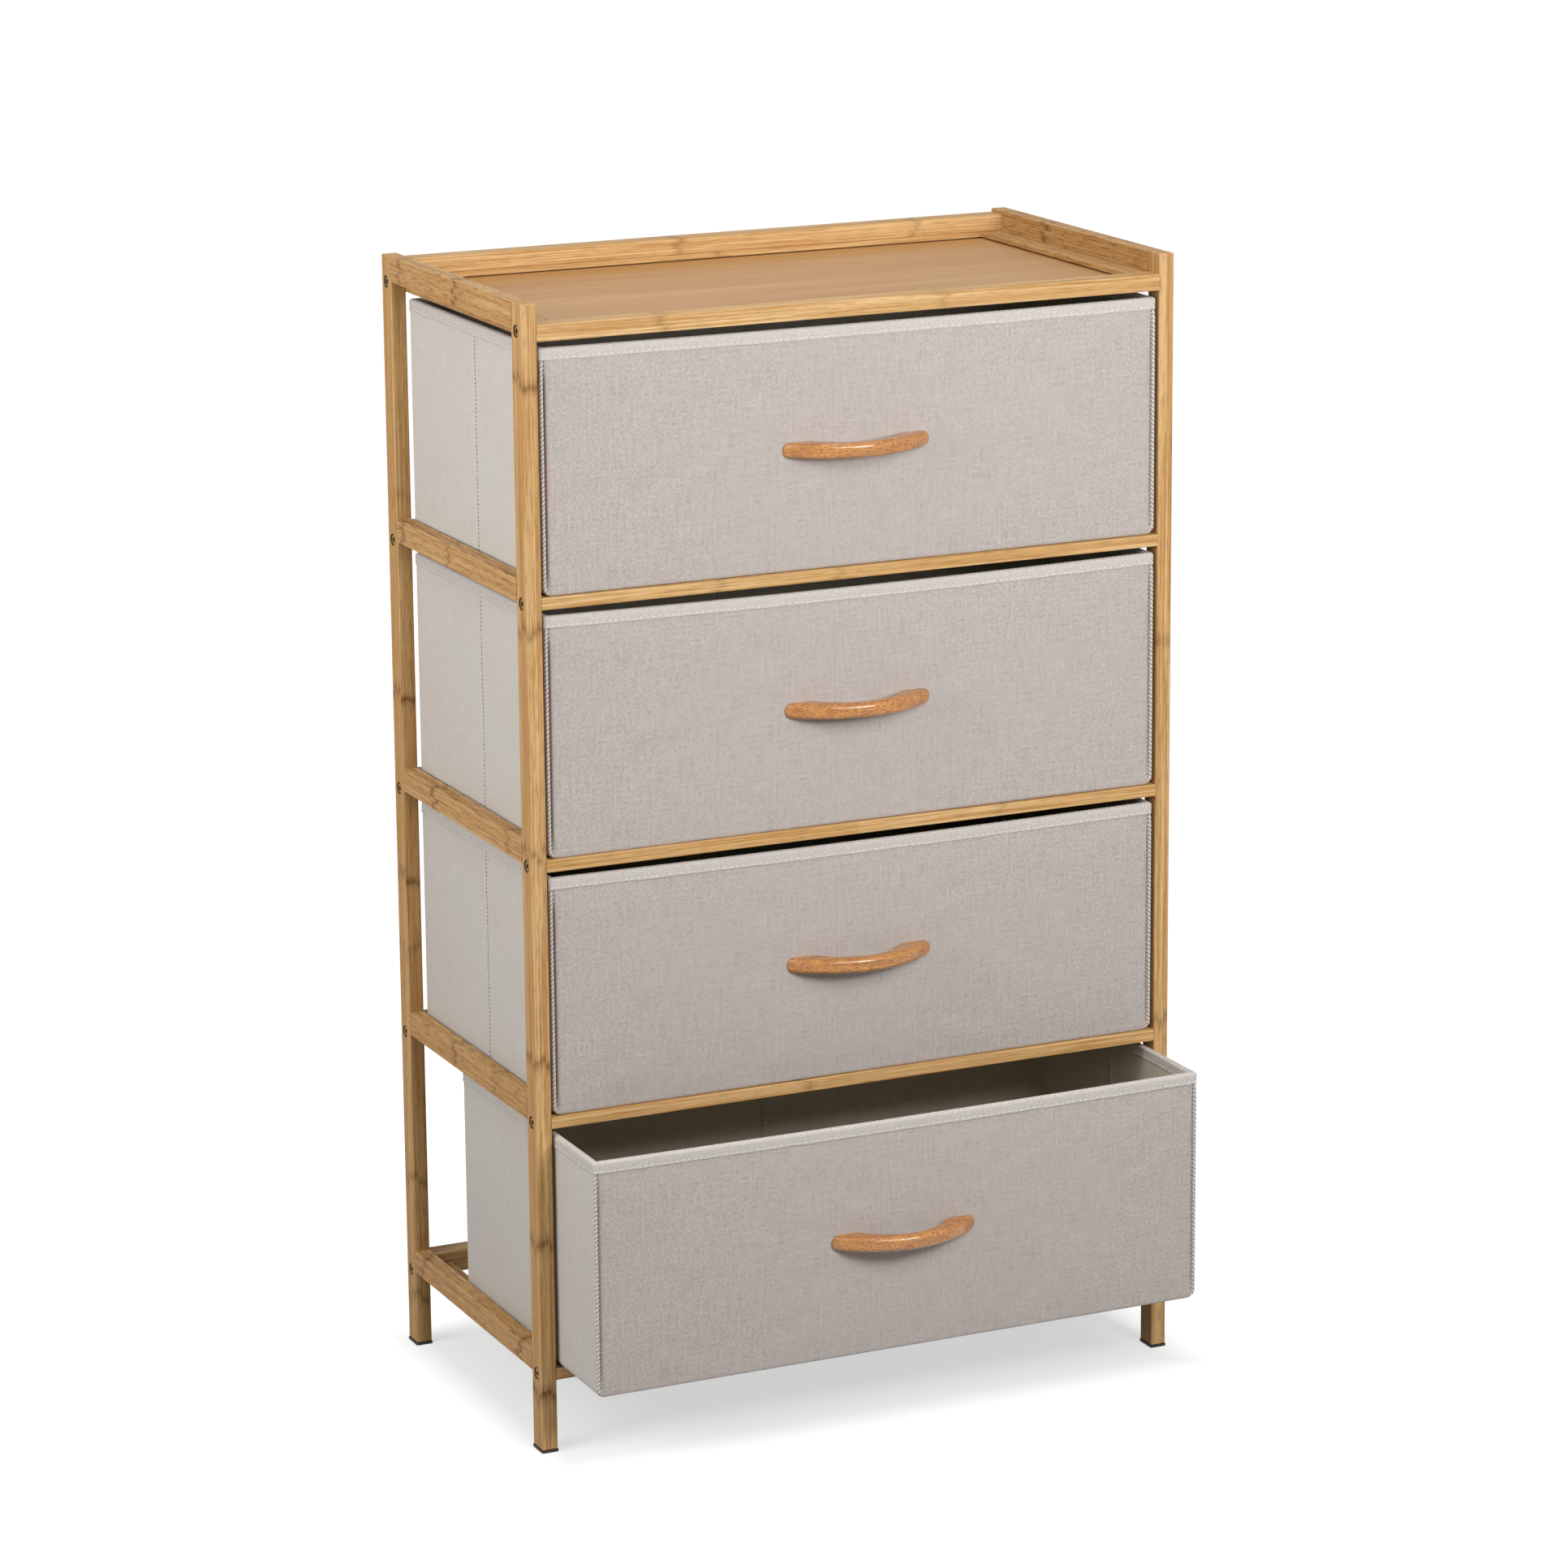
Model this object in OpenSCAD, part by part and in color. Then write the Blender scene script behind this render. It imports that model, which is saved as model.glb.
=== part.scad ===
// Bamboo shelf unit with four fabric drawers, all sizes in millimetres.
// X runs to the right, the front faces -Y, Z is up. The origin is the centre of the
// four posts' footprint, on the floor. Shelves and drawers are counted from the top.

/* [Frame] */
// Width across the posts
frame_w = 580; // [480:5:700]
// Depth over the posts
frame_d = 305; // [265:5:380]
// Height from the floor to the top of the posts
frame_h = 950; // [850:10:1150]
// Thickness of a post and of the side rails, seen from the front
post_w = 13.5; // [12:0.5:18]
// Depth of a post, seen from the side
post_d = 20; // [18:0.5:26]
// Rounding of a post's edges
post_edge = 1.2; // [0.6:0.2:2]
// Height of a foot glide
glide_h = 2; // [1:0.5:5]
// How far a foot glide stands out round its post
glide_lip = 0.7; // [0.3:0.1:1.5]

/* [Shelf frames] */
// Height of the lowest shelf's face above the floor
bottom_level = 71.5; // [50:0.5:110]
// Distance from the post tops down to the top shelf's face
tray_depth = 17; // [15:0.5:20]
// Height of the lower shelves' strips
strip_h = 10; // [9:0.5:13]
// Height of the top shelf's strips, which hold the panel
top_strip_h = 13.5; // [12.5:0.5:16]
// Width of the battens that join the front and rear rails
batten_w = 20; // [16:0.5:28]
// Rounding of the strips' long edges
strip_edge = 1; // [0.5:0.1:1.5]
// Height of the stop strip behind each drawer
stop_h = 9; // [6:0.5:12]
// Height of the strip at the rear of the top tray
gallery_h = 14; // [10:0.5:16]

/* [Side rails] */
// Height of the lower side rails
side_rail_h = 19.5; // [18:0.5:26]
// How far the lower side rails rise above their shelf's face
side_rail_rise = 14; // [10:0.5:17]
// Height of the top side rails, which end level with the posts
top_side_rail_h = 21.5; // [19:0.5:28]

/* [Top panel] */
// Thickness of the panel
panel_t = 4; // [3:0.5:5]
// Open slit over the panel in its groove
panel_slit = 1.3; // [0.5:0.1:2]
// Height of the lip that stands above the groove
groove_lip = 4.2; // [3:0.1:5]
// Depth of the groove
groove_d = 6; // [4:0.5:8]
// Gap between the panel's edge and the bottom of the groove
panel_gap = 0.3; // [0.2:0.1:1]

/* [Frame screws] */
// Diameter of a screw's shank
screw_d = 5; // [4:0.5:6]
// Length of a screw's shank
screw_l = 40; // [30:1:60]
// Diameter of a screw's head
head_d = 8; // [7:0.5:9]
// Height of a screw's head
head_h = 3.4; // [2.5:0.1:3.8]
// Size of the hexagonal socket, corner to corner
socket_d = 4.6; // [3:0.2:5.5]
// Depth of the hexagonal socket
socket_depth = 2; // [1:0.5:2.5]
// Diameter of the sunk hole round the head
sunk_d = 10; // [9.5:0.1:12]
// Depth of the sunk hole
sunk_depth = 4; // [3.9:0.1:5]
// Distance from a shelf's face down to the screws
screw_drop = 5; // [4.5:0.1:5.5]

/* [Dowels] */
// Diameter of a dowel
dowel_d = 5; // [4:0.5:6]
// Length of a dowel inside a side rail or a batten
dowel_hold = 14; // [10:1:30]
// Distance between the two dowels at a side rail's end
dowel_pitch = 10; // [8:0.5:12]
// Wood left between a dowel and the screw that crosses in front of it
dowel_web = 1.5; // [1:0.1:2.5]

/* [Drawers] */
// Gap between a drawer and the posts at each side
side_gap = 2.5; // [2:0.5:6]
// Gap between a drawer's rim and the strip above it
head_gap = 5.2; // [3:0.1:12]
// Gap under a drawer
rest_gap = 0.3; // [0.2:0.1:0.5]
// Gap between a closed drawer and the stop strip behind it
stop_gap = 0.3; // [0.2:0.1:3]
// How far a closed drawer's front lies behind the posts' fronts
front_recess = 2.5; // [0.5:0.5:8]
// How far the lowest drawer is drawn out
drawn_out = 82; // [0:1:200]
// Thickness of the outer fabric
cover_t = 1; // [0.8:0.1:1.4]
// Thickness of the stiffening boards
board_t = 3; // [2:0.5:4]
// Thickness of the lining
lining_t = 1; // [0.6:0.1:1.4]
// Rounding of a drawer's long bottom edges
corner_r = 7; // [6.5:0.5:12]
// Gap between the two halves of a side board, where the side folds
fold_gap = 2; // [1:0.5:6]
// Gap between neighbouring boards
board_gap = 0.3; // [0.2:0.1:1]
// Height of the binding round the rim
binding_h = 10; // [8:1:16]
// Thickness of the binding
binding_t = 0.6; // [0.4:0.1:0.8]
// Width of the welt on a front corner
welt_w = 2.8; // [2:0.2:5]
// How far the welt stands out from the front
welt_t = 0.8; // [0.4:0.1:1.5]

/* [Handles] */
// Length of a handle
handle_l = 130; // [124:1:150]
// Height of a handle, seen from the front
handle_h = 12.5; // [10:0.5:16]
// How far the bow stands out from the drawer's front
handle_reach = 29; // [26:0.5:36]
// Thickness of the bow in its middle, seen from above
bow_t = 11; // [9:0.5:13]
// Thickness of a foot at its very tip
toe_t = 1.5; // [1:0.1:3]
// Length of the finger gap along the drawer's front
grip_l = 74; // [64:1:80]
// Rounding of the bow's long edges
bow_edge = 4; // [2:0.2:4.8]
// Distance between a handle's two screws
handle_pitch = 96; // [92:1:100]
// Diameter of a handle screw's shank
fix_d = 4; // [3:0.5:5]
// Length of a handle screw inside the handle
fix_bite = 9; // [6:0.5:10]
// Diameter of a handle screw's head
fix_head_d = 8; // [6.5:0.5:10]
// Height of a handle screw's head
fix_head_h = 2.6; // [2:0.2:4]
// Diameter of the washer under a handle screw's head
washer_d = 12; // [10.5:0.5:16]
// Thickness of that washer
washer_t = 1; // [0.6:0.2:2]

/* [Hidden] */
// Play round a screw or a dowel in its hole
hole_play = 0.1;
// Room at the blind end of a hole
end_play = 0.5;
// How far a cutting body runs past the face it opens
past = 1;
// Shallow angle left between two roundings that would otherwise just touch
seam = 0.1;
shelf_count = 5;

inner_w = frame_w - 2 * post_w;
inner_d = frame_d - 2 * post_d;
post_x = (frame_w - post_w) / 2;
post_y = (frame_d - post_d) / 2;
top_level = frame_h - tray_depth;
clear_h = (top_level - top_strip_h - bottom_level - (shelf_count - 2) * strip_h) / (shelf_count - 1);
batten_x = (inner_w - batten_w) / 2;
groove_h = panel_t + panel_slit;
groove_x = inner_w / 2 - batten_w + groove_d;
groove_y = inner_d / 2 + groove_d;
dowel_stub = (post_d - screw_d) / 2 - dowel_web;

drawer_w = inner_w - 2 * side_gap;
drawer_d = frame_d - front_recess - post_d - stop_gap;
drawer_h = clear_h - rest_gap - head_gap;
rim_z = drawer_h - binding_t;
core_y = cover_t + board_t;
wall_t = core_y + lining_t;

bow_r = arc_radius(handle_l, handle_reach - toe_t);
grip_reach = handle_reach - bow_t;
grip_r = arc_radius(grip_l, grip_reach);

bamboo = "#D3A869";
panel_wood = "#BC8444";
beech = "#C98B4E";
cover_cloth = "#BDB4AB";
lining_cloth = "#6B6153";
binding_cloth = "#D8D3D0";
board_grey = "#A89B87";
bronze = "#7A6440";
steel = "#B8B8B4";
black = "#1C1B1A";

// Radius of the arc over a chord that rises by the given height
function arc_radius(chord, rise) = (chord * chord / 4 + rise * rise) / (2 * rise);

// Height of shelf k's face
function level(k) = k == 1 ? top_level : bottom_level + (shelf_count - k) * (clear_h + strip_h);

function strip_height(k) = k == 1 ? top_strip_h : strip_h;

function side_rail_height(k) = k == 1 ? top_side_rail_h : side_rail_h;

function side_rail_z(k) = k == 1 ? frame_h - top_side_rail_h : level(k) + side_rail_rise - side_rail_h;

// Heights of the dowels at the end of side rail k
function rail_dowel_z(k) =
    [for (s = [-1, 1]) side_rail_z(k) + side_rail_height(k) / 2 + s * dowel_pitch / 2];

// Height of the dowels at the ends of shelf k's battens
function batten_dowel_z(k) = level(k) - strip_height(k) / 2;

// Rectangle about the origin with round corners
module round_rect(w, h, r) {
    square([w - 2 * r, h], center = true);
    square([w, h - 2 * r], center = true);
    for (x = [-1, 1], y = [-1, 1])
        translate([x * (w / 2 - r), y * (h / 2 - r)]) circle(r = r, $fn = 32);
}

// Bar along X standing on Z = 0, with its four long edges rounded
module bar_x(l, d, h, r) {
    rotate([90, 0, 90]) linear_extrude(l, center = true) translate([0, h / 2]) round_rect(d, h, r);
}

// Bar along Y standing on Z = 0, with its four long edges rounded
module bar_y(l, w, h, r) {
    rotate([90, 0, 0]) linear_extrude(l, center = true) translate([0, h / 2]) round_rect(w, h, r);
}

// Upright bar on Z = 0 with every edge rounded
module upright(w, d, h, r) {
    intersection() {
        linear_extrude(h) round_rect(w, d, r);
        bar_x(w, d, h, r);
        bar_y(d, w, h, r);
    }
}

// Round rod or hole along Y from y0 to y1
module rod_y(d, y0, y1) {
    translate([0, y1, 0]) rotate([90, 0, 0]) cylinder(d = d, h = y1 - y0, $fn = 32);
}

// Puts its children on the screw lines: origin on the axis at the post's outer face, +Z outwards
module at_screws(k, side, end) {
    translate([side * frame_w / 2, end * post_y, level(k) - screw_drop]) rotate([0, side * 90, 0]) children();
}

// Room for a frame screw: sunk hole for the head and clearance along the shank
module screw_room() {
    translate([0, 0, -sunk_depth]) cylinder(d = sunk_d, h = sunk_depth + past, $fn = 48);
    translate([0, 0, -sunk_depth - screw_l - end_play])
        cylinder(d = screw_d + 2 * hole_play, h = screw_l + end_play + past, $fn = 32);
}

// Room for the dowels that enter a rail or post across the joint at the end face
module dowel_room(end) {
    y_in = inner_d / 2 - dowel_hold - end_play;
    y_out = inner_d / 2 + dowel_stub + end_play;
    mirror([0, end < 0 ? 1 : 0, 0]) rod_y(dowel_d + 2 * hole_play, y_in, y_out);
}

module rail_dowel_rooms(k, side) {
    for (end = [-1, 1], z = rail_dowel_z(k))
        translate([side * post_x, 0, z]) dowel_room(end);
}

module batten_dowel_rooms(k) {
    for (side = [-1, 1], end = [-1, 1])
        translate([side * batten_x, 0, batten_dowel_z(k)]) dowel_room(end);
}

// Groove that holds the top panel, cut into the four strips of the top shelf
module panel_groove() {
    z = top_level - groove_lip - groove_h;
    translate([-groove_x, -groove_y, z]) cube([2 * groove_x, 2 * groove_y, groove_h]);
}

module post(side, end) {
    color(bamboo) difference() {
        translate([side * post_x, end * post_y, glide_h])
            upright(post_w, post_d, frame_h - glide_h, post_edge);
        for (k = [1 : shelf_count]) {
            at_screws(k, side, end) screw_room();
            rail_dowel_rooms(k, side);
        }
    }
}

module side_rail(k, side) {
    color(bamboo) difference() {
        translate([side * post_x, 0, side_rail_z(k)])
            bar_y(inner_d, post_w, side_rail_height(k), strip_edge);
        rail_dowel_rooms(k, side);
    }
}

// Front or rear strip of shelf k, as deep as the posts that it runs between
module cross_rail(k, end) {
    color(bamboo) difference() {
        translate([0, end * post_y, level(k) - strip_height(k)])
            bar_x(inner_w, post_d, strip_height(k), strip_edge);
        for (side = [-1, 1]) at_screws(k, side, end) screw_room();
        batten_dowel_rooms(k);
        if (k == 1) panel_groove();
    }
}

// Left and right strips of shelf k, which carry the drawer or the panel
module battens(k) {
    color(bamboo) difference() {
        for (side = [-1, 1])
            translate([side * batten_x, 0, level(k) - strip_height(k)])
                bar_y(inner_d, batten_w, strip_height(k), strip_edge);
        batten_dowel_rooms(k);
        if (k == 1) panel_groove();
    }
}

// Panel of the top tray, lying on the floor of its groove
module top_panel() {
    x = groove_x - panel_gap;
    y = groove_y - panel_gap;
    color(panel_wood) translate([-x, -y, top_level - groove_lip - groove_h]) cube([2 * x, 2 * y, panel_t]);
}

module gallery_strip() {
    color(bamboo) translate([0, post_y, top_level]) bar_x(inner_w, post_d, gallery_h, strip_edge);
}

module drawer_stops() {
    color(bamboo) for (k = [2 : shelf_count])
        translate([0, post_y, level(k)]) bar_x(inner_w, post_d, stop_h, strip_edge);
}

// Sunk screws through the posts into the ends of the front and rear rails
module frame_screws() {
    color(bronze) for (k = [1 : shelf_count], side = [-1, 1], end = [-1, 1])
        at_screws(k, side, end) translate([0, 0, -sunk_depth]) difference() {
            union() {
                cylinder(d = head_d, h = head_h, $fn = 48);
                translate([0, 0, -screw_l]) cylinder(d = screw_d, h = screw_l + head_h / 2, $fn = 32);
            }
            translate([0, 0, head_h - socket_depth])
                cylinder(d = socket_d, h = socket_depth + past, $fn = 6);
        }
}

// Dowels that join the side rails to the posts and the battens to the cross rails
module dowels() {
    y_in = inner_d / 2 - dowel_hold;
    y_out = inner_d / 2 + dowel_stub;
    color(bamboo) for (k = [1 : shelf_count], side = [-1, 1], end = [-1, 1])
        mirror([0, end < 0 ? 1 : 0, 0]) {
            for (z = rail_dowel_z(k)) translate([side * post_x, 0, z]) rod_y(dowel_d, y_in, y_out);
            translate([side * batten_x, 0, batten_dowel_z(k)]) rod_y(dowel_d, y_in, y_out);
        }
}

module foot_glides() {
    color(black) for (side = [-1, 1], end = [-1, 1])
        translate([side * post_x, end * post_y, 0]) linear_extrude(glide_h)
            round_rect(post_w + 2 * glide_lip, post_d + 2 * glide_lip, post_edge + glide_lip);
}

// Puts its children in drawer k: origin at the middle of the front's bottom edge, +Y inwards
module in_drawer(k) {
    y = front_recess - frame_d / 2 - (k == shelf_count - 1 ? drawn_out : 0);
    translate([0, y, level(k + 1) + rest_gap]) children();
}

// Outline of a drawer seen from the front, drawn in by inset at the sides and the bottom
module drawer_outline(inset, top) {
    half = drawer_w / 2 - inset;
    r = corner_r - inset;
    translate([-half, inset + r]) square([2 * half, top - inset - r]);
    translate([-half + r, inset]) square([2 * (half - r), top - inset]);
    for (s = [-1, 1]) translate([s * (half - r), inset + r]) circle(r = r, $fn = 48);
}

// That outline from depth y0 to depth y1
module drawer_body(y0, y1, inset, top) {
    translate([0, y1, 0]) rotate([90, 0, 0]) linear_extrude(y1 - y0) drawer_outline(inset, top);
}

// Open box that lies inset inside the drawer's outside, with walls of thickness t
module drawer_shell(inset, t) {
    difference() {
        drawer_body(inset, drawer_d - inset, inset, rim_z);
        drawer_body(inset + t, drawer_d - inset - t, inset + t, rim_z + past);
    }
}

// Puts its children on the handle's screws: origin on the drawer's front, +Y inwards
module at_handle_screws() {
    for (s = [-1, 1]) translate([s * handle_pitch / 2, 0, drawer_h / 2]) children();
}

module handle_screw_holes(y0, y1) {
    at_handle_screws() rod_y(fix_d + 2 * hole_play, y0, y1);
}

module drawer_cover(k) {
    color(cover_cloth) in_drawer(k) difference() {
        union() {
            drawer_shell(0, cover_t);
            for (s = [-1, 1])
                translate([s * (drawer_w - welt_w) / 2 - welt_w / 2, -welt_t, corner_r])
                    cube([welt_w, welt_t + cover_t, drawer_h - binding_h - corner_r]);
        }
        handle_screw_holes(-past, core_y);
    }
}

// Front, back and base boards, and the two halves of each side board
module drawer_boards(k) {
    inner_y = core_y + board_gap;
    side_l = (drawer_d - 2 * inner_y - fold_gap) / 2;
    base_x = drawer_w / 2 - corner_r;
    color(board_grey) in_drawer(k) difference() {
        union() {
            for (y = [cover_t, drawer_d - core_y]) drawer_body(y, y + board_t, cover_t, rim_z);
            for (x = [cover_t - drawer_w / 2, drawer_w / 2 - core_y], y = [inner_y, inner_y + side_l + fold_gap])
                translate([x, y, corner_r]) cube([board_t, side_l, rim_z - corner_r]);
            translate([-base_x, inner_y, cover_t]) cube([2 * base_x, drawer_d - 2 * inner_y, board_t]);
        }
        handle_screw_holes(0, wall_t);
    }
}

module drawer_lining(k) {
    color(lining_cloth) in_drawer(k) difference() {
        drawer_shell(core_y, lining_t);
        handle_screw_holes(cover_t, wall_t + past);
    }
}

// Plan rectangle of the drawer, grown by g all round, from height z0 up by h
module drawer_plan(g, z0, h) {
    translate([-drawer_w / 2 - g, -g, z0]) cube([drawer_w + 2 * g, drawer_d + 2 * g, h]);
}

// Tape folded over the rim, down both faces of the wall
module drawer_binding(k) {
    z0 = drawer_h - binding_h;
    color(binding_cloth) in_drawer(k) difference() {
        drawer_plan(binding_t, z0, binding_h);
        drawer_plan(-wall_t - binding_t, z0 - past, binding_h + 2 * past);
        difference() {
            drawer_plan(0, z0 - past, rim_z - z0 + past);
            drawer_plan(-wall_t, z0 - 2 * past, binding_h + 2 * past);
        }
    }
}

// Disc about Z whose rim is rounded: the outer side of the bow
module bow_disc(r, e) {
    rotate_extrude($fn = 128) {
        translate([0, -handle_h / 2]) square([r - e, handle_h]);
        translate([0, e - handle_h / 2]) square([r, handle_h - 2 * e]);
        for (s = [-1, 1]) translate([r - e, s * (handle_h / 2 - e)]) circle(r = e, $fn = 48);
    }
}

// What is cut out behind the bow: a disc whose rim flares, so that the cut edge is rounded
module grip_disc(r, e) {
    half = handle_h / 2 + seam;
    rotate_extrude($fn = 128) difference() {
        translate([0, -half - past]) square([r + e, 2 * (half + past)]);
        translate([r, e - half]) square([e + past, 2 * (half - e)]);
        for (s = [-1, 1]) translate([r + e, s * (half - e)]) circle(r = e, $fn = 48);
    }
}

// Front view of a handle, with half-round ends
module handle_front(r) {
    square([handle_l - 2 * r, 2 * r], center = true);
    for (s = [-1, 1]) translate([s * (handle_l / 2 - r), 0]) circle(r = r, $fn = 48);
}

// Bent handle: an arc that thickens into two flat feet on the drawer's front
module drawer_handle(k) {
    color(beech) in_drawer(k) difference() {
        translate([0, 0, drawer_h / 2]) difference() {
            intersection() {
                translate([0, bow_r - handle_reach, 0]) bow_disc(bow_r, bow_edge);
                rotate([90, 0, 0]) linear_extrude(handle_reach + past) handle_front(handle_h / 2 + seam);
            }
            translate([0, grip_r - grip_reach, 0]) grip_disc(grip_r, bow_edge);
        }
        handle_screw_holes(-fix_bite - end_play, past);
    }
}

// Screws from inside the drawer into the handle's feet, each with its washer
module drawer_handle_screws(k) {
    washer_y = wall_t + washer_t;
    head_y = washer_y + hole_play;
    color(steel) in_drawer(k) at_handle_screws() {
        difference() {
            rod_y(washer_d, wall_t, washer_y);
            rod_y(fix_d + 2 * hole_play, wall_t - past, washer_y + past);
        }
        rod_y(fix_d, -fix_bite, head_y + fix_head_h / 2);
        rod_y(fix_head_d, head_y, head_y + fix_head_h);
    }
}

post(-1, -1);  // post_front_left
post(1, -1);  // post_front_right
post(-1, 1);  // post_rear_left
post(1, 1);  // post_rear_right
side_rail(1, -1);  // side_rail_left_1
side_rail(2, -1);  // side_rail_left_2
side_rail(3, -1);  // side_rail_left_3
side_rail(4, -1);  // side_rail_left_4
side_rail(5, -1);  // side_rail_left_5
side_rail(1, 1);  // side_rail_right_1
side_rail(2, 1);  // side_rail_right_2
side_rail(3, 1);  // side_rail_right_3
side_rail(4, 1);  // side_rail_right_4
side_rail(5, 1);  // side_rail_right_5
cross_rail(1, -1);  // front_rail_1
cross_rail(2, -1);  // front_rail_2
cross_rail(3, -1);  // front_rail_3
cross_rail(4, -1);  // front_rail_4
cross_rail(5, -1);  // front_rail_5
cross_rail(1, 1);  // rear_rail_1
cross_rail(2, 1);  // rear_rail_2
cross_rail(3, 1);  // rear_rail_3
cross_rail(4, 1);  // rear_rail_4
cross_rail(5, 1);  // rear_rail_5
battens(1);  // battens_1
battens(2);  // battens_2
battens(3);  // battens_3
battens(4);  // battens_4
battens(5);  // battens_5
top_panel();
gallery_strip();
drawer_stops();
frame_screws();
dowels();
foot_glides();
drawer_cover(1);  // drawer_1_cover
drawer_boards(1);  // drawer_1_boards
drawer_lining(1);  // drawer_1_lining
drawer_binding(1);  // drawer_1_binding
drawer_handle(1);  // drawer_1_handle
drawer_handle_screws(1);  // drawer_1_handle_screws
drawer_cover(2);  // drawer_2_cover
drawer_boards(2);  // drawer_2_boards
drawer_lining(2);  // drawer_2_lining
drawer_binding(2);  // drawer_2_binding
drawer_handle(2);  // drawer_2_handle
drawer_handle_screws(2);  // drawer_2_handle_screws
drawer_cover(3);  // drawer_3_cover
drawer_boards(3);  // drawer_3_boards
drawer_lining(3);  // drawer_3_lining
drawer_binding(3);  // drawer_3_binding
drawer_handle(3);  // drawer_3_handle
drawer_handle_screws(3);  // drawer_3_handle_screws
drawer_cover(4);  // drawer_4_cover
drawer_boards(4);  // drawer_4_boards
drawer_lining(4);  // drawer_4_lining
drawer_binding(4);  // drawer_4_binding
drawer_handle(4);  // drawer_4_handle
drawer_handle_screws(4);  // drawer_4_handle_screws
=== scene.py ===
"""Bamboo shelf unit with four fabric drawers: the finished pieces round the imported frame."""

import math

import bmesh
import bpy
import numpy as np
from bpy.props import FloatProperty, FloatVectorProperty, PointerProperty
from mathutils import Matrix, Vector, noise


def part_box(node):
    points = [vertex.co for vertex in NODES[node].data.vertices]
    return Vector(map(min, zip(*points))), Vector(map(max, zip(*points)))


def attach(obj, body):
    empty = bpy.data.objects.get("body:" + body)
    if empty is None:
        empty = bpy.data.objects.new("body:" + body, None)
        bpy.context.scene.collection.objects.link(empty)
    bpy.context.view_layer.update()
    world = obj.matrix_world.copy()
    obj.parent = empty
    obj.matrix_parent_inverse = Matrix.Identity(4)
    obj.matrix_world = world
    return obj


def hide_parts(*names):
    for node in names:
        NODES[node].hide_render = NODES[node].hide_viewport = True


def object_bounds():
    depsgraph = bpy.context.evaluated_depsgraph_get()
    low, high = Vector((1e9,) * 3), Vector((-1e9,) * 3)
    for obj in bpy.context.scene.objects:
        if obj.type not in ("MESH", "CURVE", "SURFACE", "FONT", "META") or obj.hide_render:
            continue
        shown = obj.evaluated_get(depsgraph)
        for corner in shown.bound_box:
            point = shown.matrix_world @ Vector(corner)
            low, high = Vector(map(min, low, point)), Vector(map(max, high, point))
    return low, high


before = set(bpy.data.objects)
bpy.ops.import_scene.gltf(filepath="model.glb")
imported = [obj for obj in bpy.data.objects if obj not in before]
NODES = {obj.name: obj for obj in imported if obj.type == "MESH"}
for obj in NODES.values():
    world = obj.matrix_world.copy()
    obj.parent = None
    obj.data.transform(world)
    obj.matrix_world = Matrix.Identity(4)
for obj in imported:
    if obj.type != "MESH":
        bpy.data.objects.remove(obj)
CAD_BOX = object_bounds()

bl_info = {
    "name": "Bamboo Shelf Unit",
    "version": (1, 0, 0),
    "blender": (4, 5, 0),
    "location": "View3D > Sidebar > Shelf Unit",
    "description": "Finishes for a bamboo shelf unit with four fabric drawers",
    "category": "Add Mesh",
}

MM = 0.001
DRAWERS = (1, 2, 3, 4)

# Walls of a drawer, in millimetres: boards with cover and lining, and the two cloths
WALL = 5.0
SKIN = 3.2
LINING_SKIN = 0.7
LINING_INSET = WALL - 0.3
CORNER = 7.0
EDGE = 2.0

# Tape over the rim, in millimetres: the walls end inside it, and its seam is near its hem
TAPE = 0.6
TAPE_HEIGHT = 10.0
TAPE_SEAM = 8.2
RIM_INSET = 2.6

# Welts on the front corners, and the place of the seam beside each, in millimetres
WELT_WIDTH = 2.8
WELT_PROUD = 0.8
WELT_SUNK = 0.35
SEAM_IN = 3.7

# Welts start inside the tape, follow the bottom's rounding up to an angle, and taper at their
# ends, in millimetres, down to a share of their width
WELT_IN_TAPE = 2.0
WELT_TURN = math.radians(72)
WELT_TAPER = 6.0
WELT_TIP = 0.05

# How dark the seams beside the left and the right welt show, a brown mark of thread and painted
# shade in their groove: the right one is turned away
SEAM_SHADE_TONES = (1.0, 0.35)

# The lowest drawer's seams get less painted shade, as they catch the light because it stands in front
FRONT_SEAM_SHADE = 0.4

# Feet of a drawer's handle, in millimetres from the drawer's middle and bottom, and how far
# round them the cloth stays flat
FOOT_X = 51.0
FOOT_HALF = 14.0
FOOT_Z = 99.5
FOOT_HOLD = 11.0

# How much coarser the tape's stitches are than the cover's, and slant of the cover's stitches
TAPE_STITCH = 1.6
SEAM_ZIGZAG = math.radians(24)

# Sag of each drawer's front rim and of all side rims, and how far each pair of side halves
# leans in at its fold, in millimetres
RIM_SAG = {1: 1.2, 2: 2.4, 3: 1.6, 4: 1.4}
SIDE_SAG = 0.5
FOLD_LEAN = {1: 0.9, 2: 1.5, 3: 1.2, 4: 0.8}

# Screws in the posts and the painted shade round their bored holes, in metres
SCREW_Y = 0.1425
SCREW_LOWEST = 0.0665
SCREW_STEP = 0.2145
SCREW_TOP = 0.82
SCREW_TOP_LIFT = 0.0035
SCREW_SHADE_RADIUS = 0.0052
SHADE_RING_BLUR = 0.0003


def linear(code):
    """Turns an sRGB hex colour to the linear colour with alpha that shaders take."""
    parts = [int(code[i : i + 2], 16) / 255 for i in (1, 3, 5)]
    return [c / 12.92 if c <= 0.04045 else ((c + 0.055) / 1.055) ** 2.4 for c in parts] + [1.0]


def colour(name, code, description):
    """A colour setting with its default as an sRGB hex value."""
    return FloatVectorProperty(
        name=name, description=description, subtype="COLOR", size=4, min=0, max=1, default=linear(code)
    )


def length(name, default, description):
    """A length setting, in metres."""
    return FloatProperty(
        name=name, description=description, default=default, min=0, unit="LENGTH", precision=5
    )


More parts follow.
